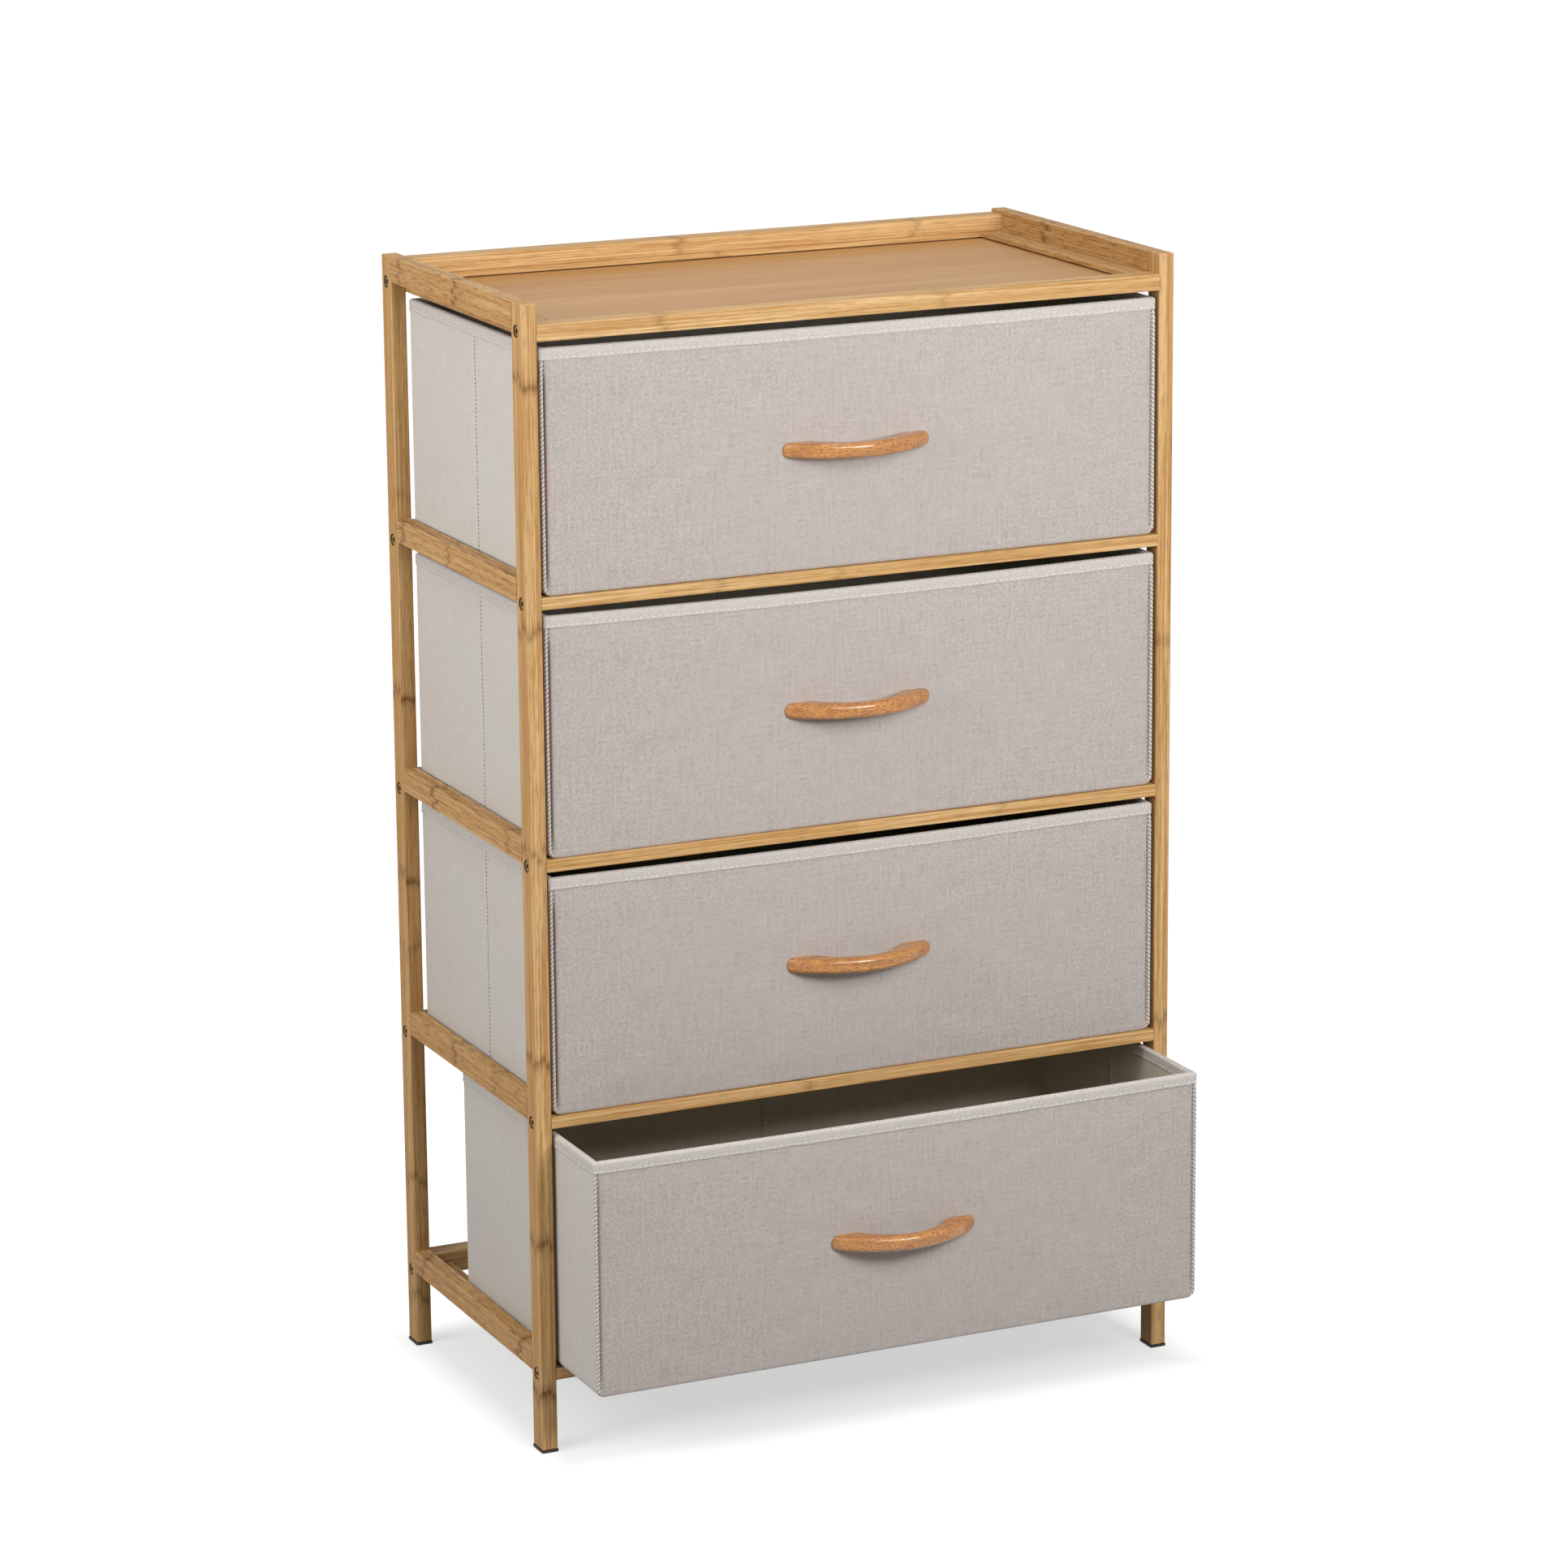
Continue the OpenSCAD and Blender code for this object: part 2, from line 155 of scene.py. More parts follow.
def degrees(name, default, description):
    """An angle setting, with its default in degrees."""
    return FloatProperty(
        name=name, description=description, default=math.radians(default), subtype="ANGLE"
    )


class ShelfWoodSettings(bpy.types.PropertyGroup):
    bamboo: colour("Bamboo", "#D2AE7B", "Honey tone of the laminated bamboo")
    bamboo_dark: colour("Bamboo Fibre", "#A87840", "Darker fibres and strips in the bamboo")
    knot: colour("Bamboo Node", "#5E3A18", "Bands where the cane had its nodes")
    # Painted shade at the edge of the holes round the screws
    bore_shade: colour("Bore Edge", "#3A2A16", "Dark edge of the bores round the screws")
    panel: colour("Panel", "#C19664", "Veneer of the top panel")
    panel_dark: colour("Panel Grain", "#A6723B", "Darker grain of the top panel")
    beech: colour("Beech", "#C2843F", "Steamed beech of the handles under varnish")
    beech_pore: colour("Beech Pores", "#7A4520", "Short dark pores of the beech")
    strip: length("Strip Width", 0.0046, "Width of one bamboo strip in the laminate")


class ShelfClothSettings(bpy.types.PropertyGroup):
    cover: colour("Cover", "#D5CFCA", "Pale yarns of the drawer fabric")
    cover_dark: colour("Cover Shade", "#857C78", "Dark yarns of the drawer fabric")
    lining: colour("Lining", "#BDB3A1", "Ground of the dark lining")
    lining_dot: colour("Lining Dots", "#CCC4B4", "Raised dots of the lining")
    tape: colour("Binding", "#E6DFD8", "Pale herringbone tape on the rims")
    # Painted shade in the spaces between the tape's yarns
    tape_gap_shade: colour("Binding Shade", "#8D8580", "Gaps between the yarns of the tape")
    # Thread of the seams, also laid as the brown mark beside each welt, partly painted shade of its
    # groove
    dark_thread_and_seam_shade: colour("Seam Thread", "#5F3A22", "Thread of the corner and fold seams")
    pale_thread: colour("Tape Thread", "#F6F3EE", "Thread that holds the tape")
    thread_shade: colour("Thread Shade", "#272421", "Shade in the twist of both threads")
    twill: length("Twill Pitch", 0.0014, "Distance between two diagonals of the weave")
    stitch_pitch: length("Stitch Pitch", 0.0034, "Distance from one stitch to the next")
    stitch_length: length("Stitch Length", 0.0024, "Length of one stitch")
    stitch_thickness: length("Thread Thickness", 0.0007, "Thickness of the sewing thread")


class ShelfStageSettings(bpy.types.PropertyGroup):
    floor: colour("Floor", "#9C9C9C", "Pale studio floor")
    lens: FloatProperty(
        name="Lens", description="Focal length on a 36 mm sensor", default=123.23, min=10, unit="CAMERA"
    )
    azimuth: degrees("Azimuth", -24.752, "Camera angle round the unit")
    elevation: degrees("Elevation", 13.344, "Camera angle above the horizon")
    roll: degrees("Roll", -0.495, "Turn of the camera round its view")
    key: FloatProperty(
        name="Key Light", description="Power of the large lamp", default=20.3, min=0, unit="POWER"
    )
    ambient: FloatProperty(
        name="Ambient", description="Strength of the studio's even light", default=0.22, min=0
    )


def node(tree, kind, inputs=None, **settings):
    """Adds a node with its settings, and sets or links its inputs by name or number. A node that
    is given for an input is linked from its first output in use."""
    made = tree.nodes.new(kind)
    for key, value in settings.items():
        setattr(made, key, value)
    for key, value in (inputs or {}).items():
        if isinstance(value, bpy.types.Node):
            value = next(output for output in value.outputs if output.enabled)
        if isinstance(value, bpy.types.NodeSocket):
            tree.links.new(value, made.inputs[key])
        else:
            made.inputs[key].default_value = value
    return made


def new_material(name):
    """An empty node material and its tree."""
    made = bpy.data.materials.new(name)
    made.use_nodes = True
    made.node_tree.nodes.clear()
    return made, made.node_tree


def weighted(tree, start, *parts):
    """A start value plus each pattern times its weight."""
    for pattern, weight in parts:
        start = node(tree, "ShaderNodeMath", {0: pattern, 1: weight, 2: start}, operation="MULTIPLY_ADD")
    return start


def laid_over(tree, base, *layers):
    """Lays tints over a base colour in turn. Each layer has its pattern, the two values of the
    pattern between which the share of its tint changes, the share at each of them, and the tint."""
    for pattern, (start, end), (low, high), tint in layers:
        share = node(tree, "ShaderNodeMapRange", {0: pattern, 1: start, 2: end, 3: low, 4: high})
        base = node(tree, "ShaderNodeMix", {0: share, 6: base, 7: tint}, data_type="RGBA")
    return base


def finish_surface(tree, base, rough, raised=None, values=None):
    """Ends a material's tree in its surface: the base colour, a pattern with the roughness at its
    lowest and highest, a pattern that stands out with its height in metres and its strength, and
    other values by name. A pattern of negative strength is sunk in."""
    pattern, low, high = rough
    roughness = node(tree, "ShaderNodeMapRange", {0: pattern, 3: low, 4: high})
    inputs = {"Base Color": base, "Roughness": roughness}
    if raised:
        pattern, height, strength = raised
        relief = {"Height": pattern, "Distance": height, "Strength": abs(strength)}
        inputs["Normal"] = node(tree, "ShaderNodeBump", relief, invert=strength < 0)
    surface = node(tree, "ShaderNodeBsdfPrincipled", inputs | (values or {}))
    node(tree, "ShaderNodeOutputMaterial", {"Surface": surface})


def finish_nodes(names, material):
    """Gives CAD nodes their material."""
    for name in names:
        for place in NODES[name].material_slots:
            place.material = material


def piece_noise(tree, scale, detail):
    """Even noise through a piece, with a scale per metre."""
    place = node(tree, "ShaderNodeTexCoord").outputs["Object"]
    return node(tree, "ShaderNodeTexNoise", {"Vector": place, "Scale": scale, "Detail": detail})


# Order of the object axes that puts the grain last, by the axis that it runs along
ACROSS = {"X": ("Y", "Z", "X"), "Y": ("X", "Z", "Y"), "Z": ("X", "Y", "Z")}


def grain_place(tree, axis, scale):
    """Object coordinates with the grain along their last axis, in scale units per metre."""
    split = node(tree, "ShaderNodeSeparateXYZ", {0: node(tree, "ShaderNodeTexCoord").outputs["Object"]})
    turned = {i: split.outputs[a] for i, a in enumerate(ACROSS[axis])}
    place = node(tree, "ShaderNodeCombineXYZ", turned)
    return node(tree, "ShaderNodeVectorMath", {0: place, 1: scale}, operation="MULTIPLY")


def grain_noise(tree, axis, scale, detail=2.0, roughness=0.5):
    """Noise drawn out along the grain, with a scale per metre on each of the three axes."""
    place = grain_place(tree, axis, scale)
    inputs = {"Vector": place, "Scale": 1.0, "Detail": detail, "Roughness": roughness}
    return node(tree, "ShaderNodeTexNoise", inputs)


def strip_lots(tree, axis, strip, along):
    """Random values that change from one laminated strip to the next, and along each strip as
    many times a metre as given."""
    place = grain_place(tree, axis, (1 / strip, 1 / strip, along))
    cells = node(tree, "ShaderNodeVectorMath", {0: place}, operation="FLOOR")
    return node(tree, "ShaderNodeTexWhiteNoise", {"Vector": cells}, noise_dimensions="3D").outputs


# How far a knot's mark is shifted from fibre to fibre and from strip to strip, in metres
FIBRE_SHIFT = 0.009
STRIP_SHIFT = 0.012

# How far the knots' scale reaches past the part, in metres
KNOT_MARGIN = 0.01

# Tone across a knot's mark: place in half widths along the grain, and share of its strength
KNOT_TONE = ((-1.0, 0.0), (-0.3, 0.45), (0.0, 1.0), (0.2, 0.35), (0.9, 0.0))


def knot_bands(tree, axis, knots, strip):
    """A mask with a frayed mark at each knot's place along the grain: a thin dark line with a soft
    halo, at its own height and strength on every strip, whose fibres end at different places."""
    fray = grain_noise(tree, axis, (520, 520, 60), 4.0, 0.72)
    lots = node(tree, "ShaderNodeSeparateXYZ", {0: strip_lots(tree, axis, strip, 5.0)["Color"]}).outputs
    along = node(tree, "ShaderNodeSeparateXYZ", {0: grain_place(tree, axis, (1, 1, 1))}).outputs[2]
    shifted = weighted(tree, along, (fray, FIBRE_SHIFT), (lots[0], STRIP_SHIFT))
    number = "XYZ".index(axis)
    low, high = CAD_BOX[0][number] - KNOT_MARGIN, CAD_BOX[1][number] + KNOT_MARGIN
    place = node(tree, "ShaderNodeMapRange", {0: shifted, 1: low, 2: high})
    stops = []
    for at, strength, half in sorted(knots):
        centre = at + (FIBRE_SHIFT + STRIP_SHIFT) / 2
        for offset, tone in KNOT_TONE:
            stops.append(((centre + offset * half - low) / (high - low), tone * strength))
    bands = node(tree, "ShaderNodeValToRGB", {0: place})
    elements = bands.color_ramp.elements
    while len(elements) < len(stops):
        elements.new(0.5)
    for element, (position, tone) in zip(elements, stops):
        element.position = position
        element.color = (tone, tone, tone, 1.0)
    faded = node(tree, "ShaderNodeMapRange", {0: lots[1], 2: 0.5, 3: 0.75, 4: 1.0})
    return node(tree, "ShaderNodeMath", {0: bands, 1: faded}, operation="MULTIPLY")


def screw_shade_rings(tree):
    """A mask on the posts for the painted shade at the edge of the hole of each screw: four levels
    of screws at even steps, and the top one a little above its step."""
    place = node(tree, "ShaderNodeTexCoord").outputs["Object"]
    split = node(tree, "ShaderNodeSeparateXYZ", {0: place}).outputs
    top = node(tree, "ShaderNodeMath", {0: split[2], 1: SCREW_TOP}, operation="GREATER_THAN")
    lowered = weighted(tree, split[2], (top, -SCREW_TOP_LIFT))
    height = node(tree, "ShaderNodeMath", {0: lowered, 1: SCREW_LOWEST}, operation="SUBTRACT")
    up = node(tree, "ShaderNodeMath", {0: height, 1: SCREW_STEP / 2}, operation="PINGPONG")
    depth = node(tree, "ShaderNodeMath", {0: split[1]}, operation="ABSOLUTE")
    across = node(tree, "ShaderNodeMath", {0: depth, 1: SCREW_Y}, operation="SUBTRACT")
    offset = node(tree, "ShaderNodeCombineXYZ", {0: across, 1: up})
    away = node(tree, "ShaderNodeVectorMath", {0: offset}, operation="LENGTH")
    low, high = SCREW_SHADE_RADIUS - SHADE_RING_BLUR, SCREW_SHADE_RADIUS + SHADE_RING_BLUR
    return node(tree, "ShaderNodeMapRange", {0: away, 1: low, 2: high, 3: 1.0, 4: 0.0})


# Painted shade on the left and right faces, partly the cane's brown edge: share of the darker tone
SIDE_FACE_SHADE = 0.3

# The long pieces, along X, are tinted paler and less saturated than the others
X_PIECE_TINT = (1.09, 1.12, 1.16)


def bamboo(name, axis, wood, flecks, knots=(), tone=0.0):
    """Laminated bamboo, planed and lacquered satin: honey strips side by side, long fibres, short
    dark flecks of the vessels, darker on the left and right faces, partly painted shade and partly the
    cane's brown edge, and a brown band where the cane had a node. The posts, whose grain stands,
    have their screws' holes ringed with painted shade."""
    made, tree = new_material(name)
    # Fibre bundles are 0.3 mm wide: drawn 1.5 mm wide so that they show
    fibres = grain_noise(tree, axis, (640, 640, 8), 4.0, 0.66)
    streaks = grain_noise(tree, axis, (260, 260, 3))
    specks = grain_noise(tree, axis, (880, 880, 60))
    lots = strip_lots(tree, axis, wood.strip, 0.7)["Value"]
    facing = node(tree, "ShaderNodeSeparateXYZ", {0: node(tree, "ShaderNodeTexCoord").outputs["Normal"]})
    sideways = node(tree, "ShaderNodeMath", {0: facing}, operation="ABSOLUTE")
    base = laid_over(
        tree,
        wood.bamboo,
        (lots, (0, 1), (0, 0.48), wood.bamboo_dark),
        (streaks, (0.44, 0.6), (0, 0.42), wood.bamboo_dark),
        (fibres, (0.46, 0.62), (0, 0.85), wood.bamboo_dark),
        (specks, (0.53, 0.62), (0, flecks), wood.knot),
        # Left and right faces darker: partly painted shade, partly the cane's brown edge
        (sideways, (0.6, 0.9), (tone, tone + SIDE_FACE_SHADE), wood.bamboo_dark),
    )
    if knots:
        bands = knot_bands(tree, axis, knots, wood.strip)
        ends = node(tree, "ShaderNodeMapRange", {0: fibres, 1: 0.38, 2: 0.55, 3: 0.74, 4: 1.0})
        torn = node(tree, "ShaderNodeMath", {0: bands, 1: ends}, operation="MULTIPLY")
        base = laid_over(tree, base, (torn, (0, 1), (0, 1), wood.knot))
    # Pieces along X are tinted paler and less saturated
    if axis == "X":
        base = node(tree, "ShaderNodeVectorMath", {0: base, 1: X_PIECE_TINT}, operation="MULTIPLY")
    # Painted shade rings the hole of each screw
    if axis == "Z":
        base = laid_over(tree, base, (screw_shade_rings(tree), (0, 1), (0, 1), wood.bore_shade))
    finish_surface(tree, base, (fibres, 0.42, 0.62), (fibres, 0.00025, 0.3), {"Specular IOR Level": 0.1})
    return made


# Knots along each visible piece: (place in metres on the grain's axis, strength, half width)
KNOTS = {
    "post_front_left": [(0.89, 1.0, 0.009), (0.69, 1.0, 0.009), (0.506, 0.6, 0.007), (0.335, 1.0, 0.009),
                        (0.178, 1.0, 0.010), (0.048, 1.0, 0.011)],
    "post_rear_left": [(0.747, 0.6, 0.006), (0.578, 1.0, 0.008), (0.42, 1.0, 0.008), (0.355, 0.5, 0.006),
                       (0.151, 0.8, 0.007), (0.045, 0.8, 0.009)],
    "post_front_right": [(0.622, 0.8, 0.009), (0.293, 0.7, 0.009)],
    "post_rear_right": [(0.742, 0.68, 0.009), (0.468, 0.68, 0.009), (0.201, 0.68, 0.009)],
    "side_rail_left_1": [(0.115, 0.8, 0.007), (-0.01, 1.0, 0.009)],
    "side_rail_left_2": [(0.118, 0.9, 0.008), (0.015, 0.7, 0.007)],
    "side_rail_left_3": [(0.06, 1.0, 0.009), (-0.1, 0.7, 0.007)],
    "side_rail_left_4": [(0.03, 0.9, 0.008), (-0.06, 0.6, 0.007)],
    "side_rail_left_5": [(0.115, 0.9, 0.008), (-0.105, 1.0, 0.009)],
    "side_rail_right_1": [(0.052, 0.94, 0.009)],
    "side_rail_right_2": [(-0.081, 0.68, 0.009)],
    "side_rail_right_3": [(0.02, 0.81, 0.009)],
    "side_rail_right_4": [(0.093, 0.68, 0.009)],
    "side_rail_right_5": [(-0.047, 0.68, 0.009)],
    "front_rail_1": [(-0.171, 0.41, 0.010), (0.079, 0.38, 0.010)],
    "front_rail_2": [(-0.123, 0.41, 0.010), (-0.018, 0.41, 0.009)],
    "front_rail_3": [(0.13, 0.41, 0.010)],
    "front_rail_4": [(-0.05, 0.47, 0.010)],
    "front_rail_5": [(0.06, 0.47, 0.010)],
    "rear_rail_1": [(0.011, 0.54, 0.010)],
    "rear_rail_2": [(-0.14, 0.54, 0.010)],
    "rear_rail_3": [(0.17, 0.54, 0.010)],
    "rear_rail_4": [(-0.07, 0.54, 0.010)],
    "rear_rail_5": [(0.1, 0.54, 0.010)],
    "gallery_strip": [(-0.03, 0.68, 0.009), (0.192, 0.54, 0.009)],
}


# Share of dark flecks in the posts, the side pieces and the long pieces, by their grain's axis
FLECKS = {"Z": 0.25, "Y": 0.6, "X": 0.2}


class SHELF_OT_bamboo(bpy.types.Operator):
    """Gives the posts, rails, battens, stops and gallery their laminated bamboo"""

    bl_idname = "shelf.bamboo"
    bl_label = "Finish Bamboo Frame"

    def execute(self, context):
        wood = context.scene.shelf_wood
        starts = {
            "Z": ("post_",),
            "Y": ("side_rail_", "battens_"),
            "X": ("front_rail_", "rear_rail_", "gallery_strip", "drawer_stops"),
        }
        for axis, start in starts.items():
            for name in sorted(n for n in NODES if n.startswith(start)):
                made = bamboo("Laminated bamboo " + name, axis, wood, FLECKS[axis], KNOTS.get(name, ()))
                finish_nodes([name], made)
        dowel = bamboo("Bamboo dowel", "Y", wood, flecks=0.2, tone=0.3)
        finish_nodes(["dowels"], dowel)
        return {"FINISHED"}


def panel_veneer(wood):
    """Bamboo veneer on a thin board, lacquered silky: wide soft bands and fine lines along it,
    orange beside the frame, with a sheen that mirrors the studio softly."""
    made, tree = new_material("Lacquered bamboo veneer")
    bands = grain_noise(tree, "X", (26, 26, 1.6), 3.0)
    lines = grain_noise(tree, "X", (460, 460, 6), 4.0, 0.6)
    base = laid_over(
        tree,
        wood.panel,
        (bands, (0.35, 0.7), (0, 0.5), wood.panel_dark),
        (lines, (0.42, 0.7), (0, 0.5), wood.panel_dark),
    )
    finish_surface(tree, base, (lines, 0.4, 0.52), (lines, 0.00015, 0.3), {"Specular IOR Level": 0.2})
    return made


class SHELF_OT_top_panel(bpy.types.Operator):
    """Gives the top panel its lacquered veneer"""

    bl_idname = "shelf.top_panel"
    bl_label = "Finish Top Panel"

    def execute(self, context):
        finish_nodes(["top_panel"], panel_veneer(context.scene.shelf_wood))
        return {"FINISHED"}


def varnished_beech(wood):
    """Steamed beech, turned and varnished: orange brown with short dark pores along the bow,
    faint year rings, and a clear coat that shows a long soft highlight."""
    made, tree = new_material("Varnished beech")
    rings = grain_noise(tree, "X", (190, 190, 12))
    # Pores are 0.1 mm wide and 2 mm long: drawn 1 mm wide so that they show
    pores = grain_noise(tree, "X", (1000, 1000, 240), 1.0)
    base = laid_over(
        tree,
        wood.beech,
        (rings, (0.35, 0.7), (0, 0.45), wood.beech_pore),
        (pores, (0.5, 0.62), (0, 0.7), wood.beech_pore),
    )
    varnish = {"Specular IOR Level": 0.25, "Coat Weight": 0.9, "Coat Roughness": 0.08}
    finish_surface(tree, base, (rings, 0.38, 0.5), (pores, 0.0001, -0.3), varnish)
    return made


class SHELF_OT_handles(bpy.types.Operator):
    """Gives the four bowed handles their varnished beech"""

    bl_idname = "shelf.handles"
    bl_label = "Finish Handles"

    def execute(self, context):
        names = [f"drawer_{k}_handle" for k in DRAWERS]
        finish_nodes(names, varnished_beech(context.scene.shelf_wood))
        return {"FINISHED"}


def plated_metal(name, pale, dark, roughness):
    """A plated metal whose finish is mottled by two tones, worn to the paler one."""
    made, tree = new_material(name)
    spots = piece_noise(tree, 700.0, 4.0)
    base = laid_over(tree, linear(pale), (spots, (0, 1), (0, 1), linear(dark)))
    finish_surface(tree, base, (spots, *roughness), (spots, 0.0001, 0.3), {"Metallic": 1.0})
    return made


def moulded_plastic():
    """Black polyethylene glides, moulded: dull, with a fine grain from the mould."""
    made, tree = new_material("Moulded black polyethylene")
    grain = piece_noise(tree, 900.0, 3.0)
    base = laid_over(tree, linear("#141313"), (grain, (0, 1), (0, 1), linear("#2A2827")))
    finish_surface(tree, base, (grain, 0.45, 0.65), (grain, 0.0001, 0.3))
    return made


class SHELF_OT_hardware(bpy.types.Operator):
    """Gives the screws and glides their metal and plastic"""

    bl_idname = "shelf.hardware"
    bl_label = "Finish Screws and Glides"

    def execute(self, context):
        bronze = plated_metal("Antique bronze plating", "#A98A50", "#66502A", (0.3, 0.5))
        steel = plated_metal("Zinc plated steel", "#C8C8C4", "#9C9C98", (0.25, 0.4))
        finish_nodes(["frame_screws"], bronze)
        finish_nodes([f"drawer_{k}_handle_screws" for k in DRAWERS], steel)
        finish_nodes(["foot_glides"], moulded_plastic())
        return {"FINISHED"}


# Drawer shapes. All points are in millimetres from the middle of the front's bottom edge, with
# Y into the unit, until a mesh is made.

# Steps of the grids of the covers and linings, in millimetres, and sides of a welt's bead
COVER_STEP = 5.5
LINING_STEP = 7.5
BEAD_SIDES = 10

# Distance in metres under which two points are one
WELD = 2e-5

# Soft forms of the cloth, in millimetres: height, and half width or length of a wave
PILLOW = (0.9, 16)
FOLD_SEAM = (0.75, 1.5)
GUSSET = (0.5, 3.2)
SIDE_WAVES = (0.28, 46)
FRONT_WAVES = (0.42, 74)
FRONT_RIPPLES = (0.16, 21)
TAPE_WAVES = (0.22, 24)
HEM_WAVES = (0.5, 17)
SEWN_DIP = (0.28, 0.9)
HEM_LIFT = (0.12, 0.7)
SEAM_GROOVE = (1.1, 1.1)

# Half width of the brown mark in a seam's groove, thread and painted shade, in millimetres
SEAM_SHADE_MARK = 1.3

# Gussets of the sides' folds: slope, and place and half width of their mark under the rim
GUSSET_SLOPE = 0.42
GUSSET_PLACE = (26, 24)

# Creases of a side and of a front or rear: how many, and the depth of the deepest in millimetres
SIDE_WRINKLES = (5, 0.32)
FRONT_WRINKLES = (13, 0.7)

# Limits of a crease: place up the panel in shares of its height, slant in degrees, half length
# and half width in millimetres, and share of the deepest
CREASE_PLACE = (0.05, 0.85)
CREASE_SLANT = (12, 62)
CREASE_LENGTH = (18, 62)
CREASE_WIDTH = (3.5, 7.5)
CREASE_DEPTH = (0.45, 1.0)

# How strongly a crease bends, and its valley: share of the ridge, and place in half widths
CREASE_BEND = 0.0022
CREASE_VALLEY = (0.7, 1.6)

# Share of the front's pillow that the rear has
REAR_PILLOW = 0.3

# Free cloth, in millimetres: distance from the rim and the bottom at which it starts, and over
# which it comes free, and the same from the corners
RIM_HOLD = (8, 18)
BOTTOM_HOLD = (1, 12)
CORNER_HOLD = 9


class Drawer:
    """Sizes and place of one drawer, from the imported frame."""

    def __init__(self, k):
        self.k = k
        low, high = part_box(f"drawer_{k}_binding")
        self.half = (high.x - low.x) / 2 / MM - TAPE
        self.depth = (high.y - low.y) / MM - 2 * TAPE
        self.front = low.y + TAPE * MM
        self.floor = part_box(f"drawer_{k}_cover")[0].z
        self.height = (high.z - self.floor) / MM
        self.top = self.height - RIM_INSET
        self.middle = self.depth / 2
        self.body = f"drawer_{k}"
        # How strong the painted shade in the seams beside the welts is for this drawer
        self.seam_shade_tone = FRONT_SEAM_SHADE if k == DRAWERS[-1] else 1.0

    def place(self, points):
        """Points in drawer millimetres, placed in the shared frame in metres."""
        p = np.asarray(points, float) * MM
        return p + np.array([0.0, self.front, self.floor])


# Steps of the quarter arcs at a drawer's bottom edges and at the corners of its rim
ARC_STEPS = 6


def profile(drawer, inset, step):
    """The wall's section across the front: down the left, round the bottom, up the right. Gives
    points (x, z), outward normals and the number of steps on each upright."""
    half, radius = drawer.half - inset, CORNER - inset
    uprights = np.linspace(drawer.top, CORNER, round((drawer.top - CORNER) / step) + 1)
    angles = np.radians(np.linspace(0, 90, ARC_STEPS + 1))
    arc = [(-half + radius * (1 - math.cos(a)), CORNER - radius * math.sin(a)) for a in angles]
    base = np.linspace(-drawer.half + CORNER, drawer.half - CORNER, round(2 * drawer.half / step) + 1)
    left = [(-half, z) for z in uprights[:-1]] + arc
    left_normals = [(-1.0, 0.0)] * (len(uprights) - 1) + [(-math.cos(a), -math.sin(a)) for a in angles]
    bottom = [(x, inset) for x in base[1:-1]]
    points = left + bottom + [(-x, z) for x, z in reversed(left)]
    normals = left_normals + [(0.0, -1.0)] * len(bottom) + [(-x, z) for x, z in reversed(left_normals)]
    return np.array(points), np.array(normals), len(uprights) - 1


def rounded(distance):
    """Where a point at a distance from a sharp edge goes once the edge is rounded: its new
    distance, and how far it drops from the face."""
    d = np.asarray(distance, float)
    kept = EDGE * (1 - math.sqrt(0.5))
    near = kept + d * (EDGE - kept) / EDGE
    moved = np.where(d < EDGE, near, d)
    drop = EDGE - np.sqrt(np.maximum(EDGE**2 - np.maximum(EDGE - moved, 0) ** 2, 0))
    return moved, drop


def bell(value, width):
    """A smooth bump of height 1 and the given half width."""
    return np.exp(-((np.asarray(value, float) / width) ** 2))


def bump(value, form):
    """A smooth bump of a form's height and half width."""
    return form[0] * bell(value, form[1])


def waves(points, form, seed):
    """Smooth waves of a form's height and length at each point, repeatable."""
    offset = Vector((seed * 17.31, seed * 5.17, seed * 9.73))
    return form[0] * np.array([noise.noise(Vector(p) / form[1] + offset) for p in points])


def wrinkles(u, v, wide, high, seed, creases):
    """Shallow creases at seeded places of a panel: a soft ridge beside a soft valley."""
    count, depth = creases
    rng = np.random.default_rng(seed)
    total = np.zeros(len(u))
    for _ in range(count):
        cu = rng.uniform(0, wide)
        cv = rng.uniform(CREASE_PLACE[0] * high, CREASE_PLACE[1] * high)
        angle = math.radians(rng.choice([-1, 1]) * rng.uniform(*CREASE_SLANT))
        run, width = rng.uniform(*CREASE_LENGTH), rng.uniform(*CREASE_WIDTH)
        size = depth * rng.uniform(*CREASE_DEPTH)
        along = (u - cu) * math.cos(angle) + (v - cv) * math.sin(angle)
        across = (v - cv) * math.cos(angle) - (u - cu) * math.sin(angle)
        bend = across + CREASE_BEND * along**2
        valley = CREASE_VALLEY[0] * bell(bend - CREASE_VALLEY[1] * width, width)
        total += size * bell(along, run) * (bell(bend, width) - valley)
    return total


def rim_drop(drawer, x, y):
    """How far the rim sags below its level at a place of the plan."""
    across = np.clip(1 - (np.asarray(x, float) / drawer.half) ** 2, 0, 1)
    along = np.clip(1 - np.abs(np.asarray(y, float) - drawer.middle) / drawer.middle, 0, 1)
    return RIM_SAG[drawer.k] * across + SIDE_SAG * along * (1 - across)


def lower_rim(drawer, points):
    """Lets the walls sag with their rim."""
    drop = rim_drop(drawer, points[:, 0], points[:, 1])
    points[:, 2] -= drop * np.clip(points[:, 2] / drawer.top, 0, 1) ** 2
    return points


def held(drawer, z):
    """1 on the free cloth, falling to 0 under the binding and at the bottom edge."""
    under_rim = np.clip((drawer.top - RIM_HOLD[0] - z) / RIM_HOLD[1], 0, 1)
    return under_rim * np.clip((z - BOTTOM_HOLD[0]) / BOTTOM_HOLD[1], 0, 1)


